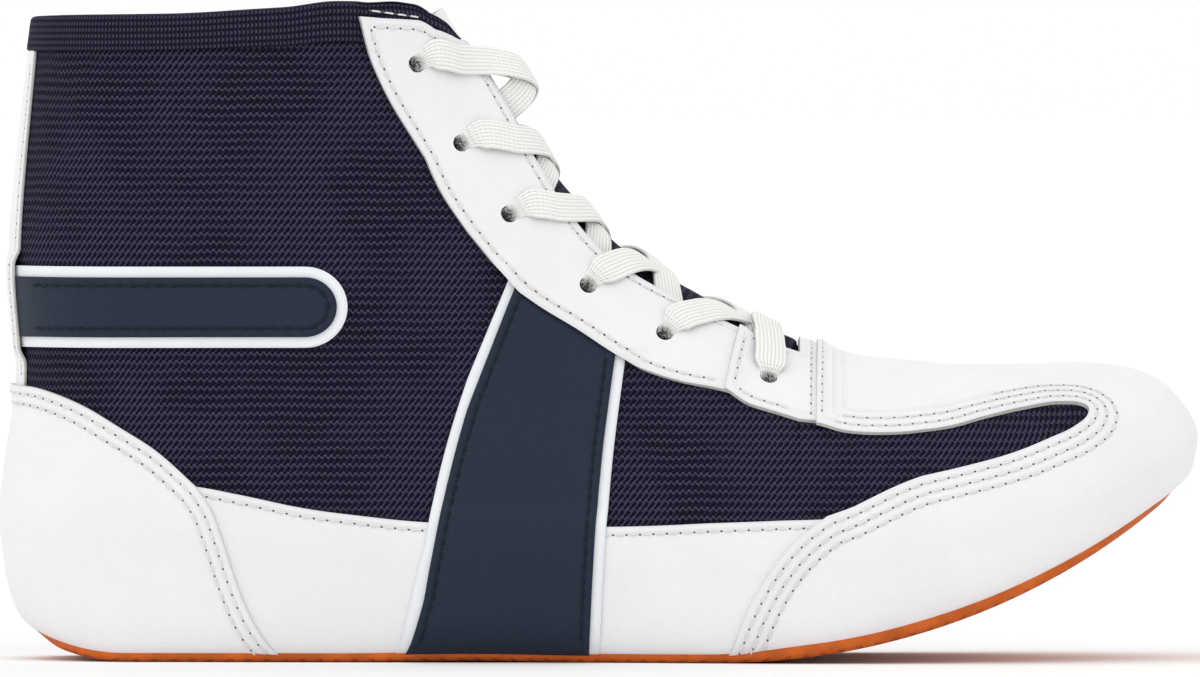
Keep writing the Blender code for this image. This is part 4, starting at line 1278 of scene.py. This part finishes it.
def lace_path():
    """Points and outward normals along the lace, and the distances along it of its eyelets."""
    route = lace_route()
    knots = run_lengths(route[:, :3])
    fine = np.linspace(0, knots[-1], int(knots[-1] / LACE_STEP))
    run, reach, lift = curve(knots, route[:, :3], fine).T
    q, v = throat_places(run, np.abs(reach))
    q = np.where(reach >= 0, q, LOOP - q)
    spots = np.stack([q, v], axis=-1)
    points = draped(spots, lift)
    normals = form_normal(q, v)
    holes = knots[route[:, 3] > 0]
    eyelets = locate(EYELETS)
    for knot, row in zip(knots, route):
        if row[3] > 0:
            target = eyelets[int(row[3]) - 1].copy()
            if row[1] < 0:
                target[0] = LOOP - target[0]
            i = np.abs(fine - knot).argmin()
            miss = draped(target[None], lift[i:i + 1])[0] - points[i]
            points = points + miss * (1 - smoothstep(np.abs(fine - knot) / EYELET_PULL))[:, None]
    return points, normals, fine, holes


def make_lace(width, thickness, finish):
    """A flat lace swept along its route, gathered where it passes an eyelet."""
    points, normals, run, holes = lace_path()
    ahead = unit(np.gradient(points, axis=0))
    across = np.empty_like(points)
    last = None
    for i, (n, t) in enumerate(zip(normals, ahead)):
        side = np.cross(n, t)
        sure = np.linalg.norm(side)
        if last is not None:
            if side @ last < 0:
                side = -side
            side = side * max(0.0, sure - 0.35) + last * 0.9
        side = side - t * (side @ t)
        last = side / np.linalg.norm(side)
        across[i] = last
    for _ in range(6):
        across[1:-1] = (across[:-2] + 2 * across[1:-1] + across[2:]) / 4
        across = unit(across - ahead * (across * ahead).sum(-1, keepdims=True))
    out = np.cross(ahead, across)
    near = np.abs(run[:, None] - holes).min(1)
    gather = 1 - smoothstep((near - LACE_GATHER[0]) / LACE_GATHER[1])
    half_wide = width / 2 * (1 - LACE_NARROWS * gather)
    half_thick = thickness / 2 * (1 + LACE_THICKENS * gather)
    turn = np.arange(LACE_SIDES) * 2 * math.pi / LACE_SIDES
    flat = np.sign(np.cos(turn)) * np.abs(np.cos(turn)) ** 0.62
    crown = np.sign(np.sin(turn)) * np.abs(np.sin(turn)) ** 0.75
    rings = (points[:, None] + across[:, None] * (half_wide[:, None] * flat)[..., None]
             + out[:, None] * (half_thick[:, None] * crown)[..., None])
    rings = np.concatenate([rings, rings[:, :1]], axis=1)
    cloth = np.stack(np.broadcast_arrays(run[:, None], np.append(flat, flat[0])[None] / 2 + 0.5), axis=-1)
    obj = sheet("lace", [rings], [cloth])
    mesh = bmesh.new()
    mesh.from_mesh(obj.data)
    bmesh.ops.holes_fill(mesh, edges=[e for e in mesh.edges if e.is_boundary], sides=0)
    bmesh.ops.recalc_face_normals(mesh, faces=mesh.faces)
    mesh.to_mesh(obj.data)
    mesh.free()
    obj.data.shade_smooth()
    # Painted shade where the lace goes into each eyelet: the finish darkens the lace near the holes
    eyelets = eyelet_places(EYELETS)
    from_hole = nearest(corners_of(obj), draped(eyelets, np.full(len(eyelets), 0.2)))
    mark(obj, "hole", 1 - smoothstep((from_hole - 0.9) / 2.0))
    hand_over(obj, [finish], ["lace_bar"] + [f"lace_cross_{k}" for k in range(1, len(EYELETS))])
    return obj


# Sizes and colours that a user would change


def length_property(name, description, default):
    return bpy.props.FloatProperty(name=name, description=description, default=default, unit="LENGTH",
                                   precision=6)


class ShoeSizes(bpy.types.PropertyGroup):
    leather_thickness: length_property("Leather", "Thickness of the white leather", 0.0011)
    backing_thickness: length_property("Backing", "Thickness of the backing under the navy panels", 0.0008)
    navy_thickness: length_property("Navy leather", "Thickness of the navy leather", 0.0008)
    lace_width: length_property("Lace width", "Width of the flat lace", 0.0076)
    lace_thickness: length_property("Lace thickness", "Thickness of the flat lace", 0.0013)
    stitch_pitch: length_property("Stitch pitch", "Length of a stitch with its gap", 0.0032)
    thread_radius: length_property("Thread radius", "Half the thickness of the sewing thread", 0.00023)
    knit_row: length_property("Knit row", "Height of a row of the knit", 0.0020)
    knit_wave: length_property("Knit wave", "Length of a zigzag of the knit", 0.00145)
    eyelet_radius: length_property("Eyelet radius", "Radius of the punched eyelets", 0.0021)
    binding_height: length_property("Binding height", "Height of the collar binding", 0.0074)


def colour_property(name, description, red, green, blue):
    return bpy.props.FloatVectorProperty(name=name, description=description, default=linear(red, green, blue),
                                         size=3, min=0.0, max=1.0, subtype="COLOR")


class ShoeColours(bpy.types.PropertyGroup):
    white_leather: colour_property("White leather", "Colour of the coated leather panels", 236, 236, 238)
    white_backing: colour_property("White backing", "Backing under the navy panels", 238, 241, 245)
    cut_edge: colour_property("Cut edge", "Colour of raw leather edges", 222, 219, 213)
    navy_leather: colour_property("Navy leather", "Colour of the navy panels", 28, 40, 58)
    knit_ground: colour_property("Knit ground", "Dark ground of the knit", 12, 10, 28)
    knit_yarn: colour_property("Knit yarn", "Lighter yarn of the knit", 98, 94, 124)
    binding: colour_property("Binding", "Ground of the collar binding", 16, 15, 30)
    lining: colour_property("Lining", "Colour of the lining and the insole", 46, 45, 58)
    lace: colour_property("Lace", "Colour of the lace", 251, 250, 246)
    gum: colour_property("Gum", "Colour of the sole", 201, 97, 33)
    foam: colour_property("Foam", "Colour of the tongue's raw edge", 205, 178, 132)
    white_thread: colour_property("White thread", "Thread of the leather panels", 238, 237, 234)
    navy_thread: colour_property("Navy thread", "Thread of the navy panels", 22, 26, 38)
    floor: colour_property("Floor", "Colour of the studio floor", 250, 249, 248)


def settings():
    """The sizes in millimetres and the colours in linear light."""
    scene = bpy.context.scene
    sizes = {name: getattr(scene.shoe_sizes, name) / MM for name in ShoeSizes.__annotations__}
    colours = {name: tuple(getattr(scene.shoe_colours, name)) for name in ShoeColours.__annotations__}
    return SimpleNamespace(**sizes), SimpleNamespace(**colours)


# Operators


class SHOE_OT_stage(bpy.types.Operator):
    """Pale floor, soft light and the camera at the photograph's angle"""
    bl_idname = "shoe.stage"
    bl_label = "Stage"

    def execute(self, context):
        _, colours = settings()
        scene = context.scene
        scene.view_settings.view_transform = "Standard"
        mesh = bmesh.new()
        bmesh.ops.create_circle(mesh, cap_ends=True, segments=96, radius=FLOOR_RADIUS)
        data = bpy.data.meshes.new("studio_floor")
        mesh.to_mesh(data)
        mesh.free()
        floor = bpy.data.objects.new("studio_floor", data)
        data.materials.append(floor_finish("studio_floor", colours.floor))
        scene.collection.objects.link(floor)

        world = bpy.data.worlds.new("studio")
        scene.world = world
        world.use_nodes = True
        sky = world.node_tree.nodes["Background"]
        sky.inputs["Color"].default_value = (1.0, 1.0, 1.0, 1.0)
        sky.inputs["Strength"].default_value = 1.0

        self.add_light("overhead", "SUN", 0.35, (-0.35, -0.55, 1.0), angle=math.radians(70))
        self.add_light("side_softbox", "AREA", 1.2, (-0.9, -1.3, 0.9), size=0.8)

        camera = bpy.data.cameras.new("camera")
        camera.lens = CAMERA_LENS
        camera.sensor_width = 36.0
        camera.clip_start = 0.1
        camera.clip_end = 50.0
        eye = bpy.data.objects.new("camera", camera)
        scene.collection.objects.link(eye)
        back = Vector((0.0, -math.cos(CAMERA_RISE), math.sin(CAMERA_RISE)))
        eye.location = Vector(CAMERA_AIM) + back * (FRAME_WIDTH * camera.lens / camera.sensor_width)
        eye.rotation_euler = (-back).to_track_quat("-Z", "Y").to_euler()
        scene.camera = eye
        return {"FINISHED"}

    def add_light(self, name, kind, energy, spot, angle=None, size=None):
        light = bpy.data.lights.new(name, kind)
        light.energy = energy
        if angle:
            light.angle = angle
        if size:
            light.size = size
        obj = bpy.data.objects.new(name, light)
        obj.location = spot
        obj.rotation_euler = (Vector(LIGHT_AIM) - Vector(spot)).to_track_quat("-Z", "Y").to_euler()
        bpy.context.scene.collection.objects.link(obj)


def sole_edge(q, margin):
    """Plan points of the feather line, a margin outside it."""
    s = station(q)
    turn = np.radians(s.angle)
    r = s.feather_r + margin
    return np.stack([s.base_x + r * np.cos(turn), spine_y(s.base_x) + r * np.sin(turn)], axis=-1)


def sole_points(q, margin, height, share):
    """Points a margin outside the feather line and a height over the tread; the ends thin out."""
    x = sole_edge(q, 0.0)[..., 0]
    past_waist, at_toe = (smoothstep((x - start) / over) for start, over in (SOLE_WAIST_X, SOLE_TOE_X))
    if margin > SOLE_SEAT:
        at_heel, grows, grows_more = SOLE_LEDGE
        margin = margin + at_heel + grows * past_waist + grows_more * at_toe
        height = height * (1 + SOLE_TOE_HEIGHT * past_waist)
    plan = sole_edge(q, margin)
    x = plan[..., 0]
    arch = arch_lift(x) * (OUTER_ARCH_SHARE + (1 - OUTER_ARCH_SHARE) * share)
    from_heel = (x - SOLE_HEEL_THINS[0]) / SOLE_HEEL_THINS[1]
    from_toe = (SOLE_TOE_THINS[0] - x) / SOLE_TOE_THINS[1]
    ends = SOLE_END_SHARE + (1 - SOLE_END_SHARE) * smoothstep(np.minimum(from_heel, from_toe))
    top = SOLE_THICK - (SOLE_THICK - height) * ends
    return np.concatenate([plan, (sole_rise(x) + arch + top)[..., None]], axis=-1)


def sole_columns(count):
    """Places round the outer side, closer together at the heel and the toe."""
    return HALF * (smoothstep(even(count)) * 0.35 + even(count) * 0.65)


def across_sole(q, rows, margin, height):
    """A grid from the outer to the inner feather line."""
    outer = sole_points(q, margin, height, 0.0)
    inner = sole_points(LOOP - q, margin, height, 1.0)
    share = even(rows)[None, :, None]
    return outer[:, None] * (1 - share) + inner[:, None] * share


def sole_shell():
    """Tread, rounded side and top of the outsole."""
    q = sole_columns(260)
    grids = [across_sole(q, 46, *SOLE_SIDE[0]), across_sole(q, 46, *SOLE_SIDE[-1])]
    for side, share in ((q, 0.0), (LOOP - q, 1.0)):
        rows = [sole_points(side, margin, height, share) for margin, height in SOLE_SIDE]
        grids.append(np.stack(rows, axis=1))
    return grids


class SHOE_OT_sole(bpy.types.Operator):
    """Gum outsole with its fine tread, and the insole"""
    bl_idname = "shoe.sole"
    bl_label = "Sole and insole"

    def execute(self, context):
        _, colours = settings()
        outsole = sheet("gum_outsole", sole_shell(), closed=True)
        hand_over(outsole, [gum_finish("orange_gum", colours.gum)], ["outsole"])
        grid = across_sole(np.linspace(0.2, HALF - 0.2, 180), 44, -INSOLE_INSET, SOLE_THICK + GAP)
        insole = sheet("lined_insole", [grid], [grid[..., :2]])
        thicken(insole, INSOLE_THICK, 1, bevel=0.8, segments=3)
        hand_over(insole, [lining_finish("insole_cloth", colours.lining)], ["insole"])
        return {"FINISHED"}


class SHOE_OT_upper(bpy.types.Operator):
    """Knit upper, open at the sole, collar and throat, with its lining"""
    bl_idname = "shoe.upper"
    bl_label = "Knit upper"

    def execute(self, context):
        sizes, colours = settings()
        collar = np.linspace(0, q_at(THROAT_SLOPE_X), 100)
        slope = np.linspace(q_at(THROAT_SLOPE_X), q_at(THROAT_X[0]), 5)[1:-1]
        throat = q_at(np.linspace(THROAT_X[0], THROAT_X[-1], 60))
        vamp = np.linspace(q_at(THROAT_END_X), HALF, 64)
        throat_top = v_at_reach(throat, throat_half(station(throat).base_x))
        slope_top = 1 + (throat_top[0] - 1) * even(5)[1:-1]
        q = np.concatenate([collar, slope, throat, vamp])
        start, over = RIM_FALLS_X
        falls = RIM_FALL * smoothstep((station(collar).base_x - start) / over) * (collar > 2.0)
        top = np.concatenate([1 - falls, slope_top - RIM_FALL, throat_top, np.ones(len(vamp))])
        side = patch(np.stack([q, np.zeros(len(q))], axis=-1), np.stack([q, top], axis=-1), even(72))
        grids, cloth = [], []
        for half in (side, mirrored(side)):
            points = draped(half, np.zeros(half.shape[:2]))
            round_shoe = np.interp(half[..., 0], LOOP_PLACE, LOOP_KNOTS)
            grids.append(points)
            cloth.append(np.stack([round_shoe, points[..., 2]], axis=-1))
        holes = on_form(eyelet_places(EYELETS))
        upper = sheet("knit_upper", grids, cloth, holes, sizes.eyelet_radius + 0.6)
        thicken(upper, WALL, -1, inside=1, rim=1, bevel=0.4)
        knit = knit_finish("navy_mesh", sizes, colours)
        hand_over(upper, [knit, lining_finish("dark_lining", colours.lining)], ["upper"])
        return {"FINISHED"}


class SHOE_OT_tongue(bpy.types.Operator):
    """Tongue under the throat, with a leather tab at its top and a raw foam edge"""
    bl_idname = "shoe.tongue"
    bl_label = "Tongue"

    def execute(self, context):
        sizes, colours = settings()
        guides = form(q_at(np.array(TONGUE_X)), 1.0)[:, [0, 2]]
        run = guides[-1] - guides[-2]
        guides = np.concatenate([guides, [guides[-1] + run * TONGUE_RISE / np.linalg.norm(run)]])
        knots = run_lengths(guides)
        fine = np.linspace(0, knots[-1], 120)
        ridge = curve(knots, guides, fine)
        ahead = unit(np.gradient(ridge, axis=0))
        inward = np.stack([-ahead[:, 1], ahead[:, 0]], axis=-1)
        share = np.interp(fine, knots, even(len(guides)))
        radius = TONGUE_RADIUS + (TONGUE_TOP_RADIUS - TONGUE_RADIUS) * smoothstep(share)[:, None]
        left = np.clip((knots[-1] - fine) / TONGUE_ROUND, 0.0, 1.0)
        round_off = TONGUE_TOP_SHARE + (1 - TONGUE_TOP_SHARE) * np.sqrt(1 - (1 - left) ** 2)[:, None]
        turn = TONGUE_HALF_TURN * round_off * np.linspace(1, -1, 52)[None]
        drop = np.interp(ridge[:, :1], TONGUE_DROP_X, TONGUE_DROP) + radius * (1 - np.cos(turn))
        side_view = ridge[:, None] + inward[:, None] * drop[..., None]
        y = spine_y(ridge[:, :1]) + radius * np.sin(turn)
        points = np.stack([side_view[..., 0], y, side_view[..., 1]], axis=-1)
        cloth = np.stack(np.broadcast_arrays(radius * turn, fine[:, None]), axis=-1)
        tongue = sheet("knit_tongue", [points], [cloth])
        from_tab = fine - knots[-1] + TONGUE_TAB
        rows, columns = points.shape[:2]
        # The tab's edge lies where it meets the knit; the leather finish darkens it there with painted shade
        mark(tongue, "edge", np.repeat(np.abs(from_tab), columns))
        mark(tongue, "rows", np.zeros(rows * columns))
        slots = np.repeat(np.where(from_tab[:-1] > 0, 0, 3), columns - 1)
        tongue.data.polygons.foreach_set("material_index", slots)
        thicken(tongue, TONGUE_THICK, -1, inside=1, rim=2, bevel=1.0, segments=3)
        tab = leather_finish("tongue_tab", colours.white_leather, *WHITE_GRAIN)
        knit = knit_finish("tongue_mesh", sizes, colours)
        lining = lining_finish("tongue_lining", colours.lining)
        foam = foam_finish("tongue_foam", colours.foam)
        hand_over(tongue, [tab, lining, foam, knit, lining, foam], ["tongue"])
        return {"FINISHED"}


class SHOE_OT_leather(bpy.types.Operator):
    """White leather panels: counter, foxing, toe cap, eyestays, facing and back strip"""
    bl_idname = "shoe.leather"
    bl_label = "White leather"

    def execute(self, context):
        sizes, colours = settings()
        leather = leather_finish("white_leather", colours.white_leather, *WHITE_GRAIN)
        cut = cut_edge_finish("white_cut_edge", colours.cut_edge)
        for panel in leather_set(sizes.leather_thickness):
            make_panel(panel, [leather, cut], sizes.eyelet_radius)
        return {"FINISHED"}


class SHOE_OT_navy(bpy.types.Operator):
    """Navy saddle panels and ankle bands on their white backings"""
    bl_idname = "shoe.navy"
    bl_label = "Navy panels"

    def execute(self, context):
        sizes, colours = settings()
        backing = leather_finish("white_backing", colours.white_backing, *BACKING_GRAIN)
        cut = cut_edge_finish("backing_cut_edge", colours.white_backing)
        navy = leather_finish("navy_leather", colours.navy_leather, *NAVY_GRAIN)
        navy_cut = cut_edge_finish("navy_cut_edge", colours.navy_thread)
        for panel in navy_set(sizes):
            if "backing" in panel.node:
                make_panel(panel, [backing, cut], 0.0)
            else:
                make_panel(panel, [navy, navy_cut], 0.0)
        return {"FINISHED"}


class SHOE_OT_binding(bpy.types.Operator):
    """Ribbed tape folded over the collar"""
    bl_idname = "shoe.binding"
    bl_label = "Collar binding"

    def execute(self, context):
        sizes, colours = settings()
        height = sizes.binding_height
        end_q = q_at(BINDING_END_X)
        q = np.linspace(-end_q, end_q, 320)
        x = station(np.abs(q)).base_x
        rim_v = collar_rim(q)
        rim_z = form(q, rim_v)[:, 2]
        proud = sum(rise * smoothstep((x - start) / grows) * smoothstep((end - x) / falls)
                    for rise, start, grows, end, falls in BINDING_RISE)
        thin = 0.8 * smoothstep((x - BINDING_THINS_X) / 4.0)
        turn = np.linspace(0, math.pi, 11)
        outer, inner = BINDING_OUT, -WALL - BINDING_IN
        section = [(height, outer - 0.15), (height - 0.5, outer + 0.30), (height - 1.6, outer + 0.28),
                   (height * 0.55, outer + 0.22), (1.6, outer + 0.18)]
        middle, half = (outer + inner) / 2, (outer - inner) / 2 + 0.1
        section += [(0.3 - 1.25 * math.sin(a), middle + half * math.cos(a)) for a in turn]
        section += [(1.8, inner - 0.1), (height * 0.6, inner - 0.2), (height - 0.4, inner - 0.25),
                    (height, inner)]
        columns = []
        for drop, lift in section:
            v = v_at_height(q, rim_z - drop) if drop > 0 else rim_v
            points = draped(np.stack([q, v], axis=-1), lift - thin * (lift > 0))
            points[:, 2] += proud * (1 - 0.45 * max(drop, 0.0) / height) + max(-drop, 0.0)
            columns.append(points)
        grid = np.stack(columns, axis=1)
        along = np.interp(q, LOOP_PLACE, LOOP_KNOTS)
        across = run_lengths(np.array(section))
        cloth = np.stack(np.broadcast_arrays(along[:, None], across[None]), axis=-1)
        binding = sheet("collar_tape", [grid], [cloth])
        thicken(binding, BINDING_THICK, -1, bevel=0.25)
        tape = tape_finish("navy_binding", colours.binding, colours.knit_yarn)
        hand_over(binding, [tape], ["collar_binding"])
        return {"FINISHED"}


class SHOE_OT_lace(bpy.types.Operator):
    """One flat lace through all the eyelets"""
    bl_idname = "shoe.lace"
    bl_label = "Lace"

    def execute(self, context):
        sizes, colours = settings()
        make_lace(sizes.lace_width, sizes.lace_thickness,
                  lace_finish("white_lace", colours.lace, LACE_RIBS))
        return {"FINISHED"}


class SHOE_OT_stitching(bpy.types.Operator):
    """Rows of stitches with their needle holes"""
    bl_idname = "shoe.stitching"
    bl_label = "Stitching"

    def execute(self, context):
        sizes, colours = settings()
        pitch, radius = sizes.stitch_pitch, sizes.thread_radius
        white = thread_finish("white_thread", colours.white_thread, linear(*WHITE_NEEDLE_HOLE_SHADE))
        navy = thread_finish("navy_thread", colours.navy_thread, linear(*NAVY_NEEDLE_HOLE_SHADE))
        white_sewn = leather_set(sizes.leather_thickness) + [collar_seam()]
        make_stitching("white_stitching", white_sewn, pitch, radius, white)
        make_stitching("navy_stitching", navy_set(sizes), pitch, radius, navy)
        return {"FINISHED"}


STEPS = (SHOE_OT_stage, SHOE_OT_sole, SHOE_OT_upper, SHOE_OT_tongue, SHOE_OT_leather, SHOE_OT_navy,
         SHOE_OT_binding, SHOE_OT_lace, SHOE_OT_stitching)


class SHOE_PT_panel(bpy.types.Panel):
    """Sizes, colours and steps of the shoe"""
    bl_idname = "SHOE_PT_panel"
    bl_label = "Kabaddi shoe"
    bl_space_type = "VIEW_3D"
    bl_region_type = "UI"
    bl_category = "Shoe"

    def draw(self, context):
        for group in (context.scene.shoe_sizes, context.scene.shoe_colours):
            box = self.layout.box()
            for name in group.__annotations__:
                box.prop(group, name)
        for step in STEPS:
            self.layout.operator(step.bl_idname)


CLASSES = (ShoeSizes, ShoeColours, *STEPS, SHOE_PT_panel)


def register():
    for each in CLASSES:
        bpy.utils.register_class(each)
    bpy.types.Scene.shoe_sizes = bpy.props.PointerProperty(type=ShoeSizes)
    bpy.types.Scene.shoe_colours = bpy.props.PointerProperty(type=ShoeColours)


def unregister():
    del bpy.types.Scene.shoe_colours
    del bpy.types.Scene.shoe_sizes
    for each in reversed(CLASSES):
        bpy.utils.unregister_class(each)


def main():
    register()
    bpy.ops.shoe.stage()
    bpy.ops.shoe.sole()
    bpy.ops.shoe.upper()
    bpy.ops.shoe.tongue()
    bpy.ops.shoe.leather()
    bpy.ops.shoe.navy()
    bpy.ops.shoe.binding()
    bpy.ops.shoe.lace()
    bpy.ops.shoe.stitching()
    bpy.context.view_layer.update()


if __name__ == "__main__":
    main()
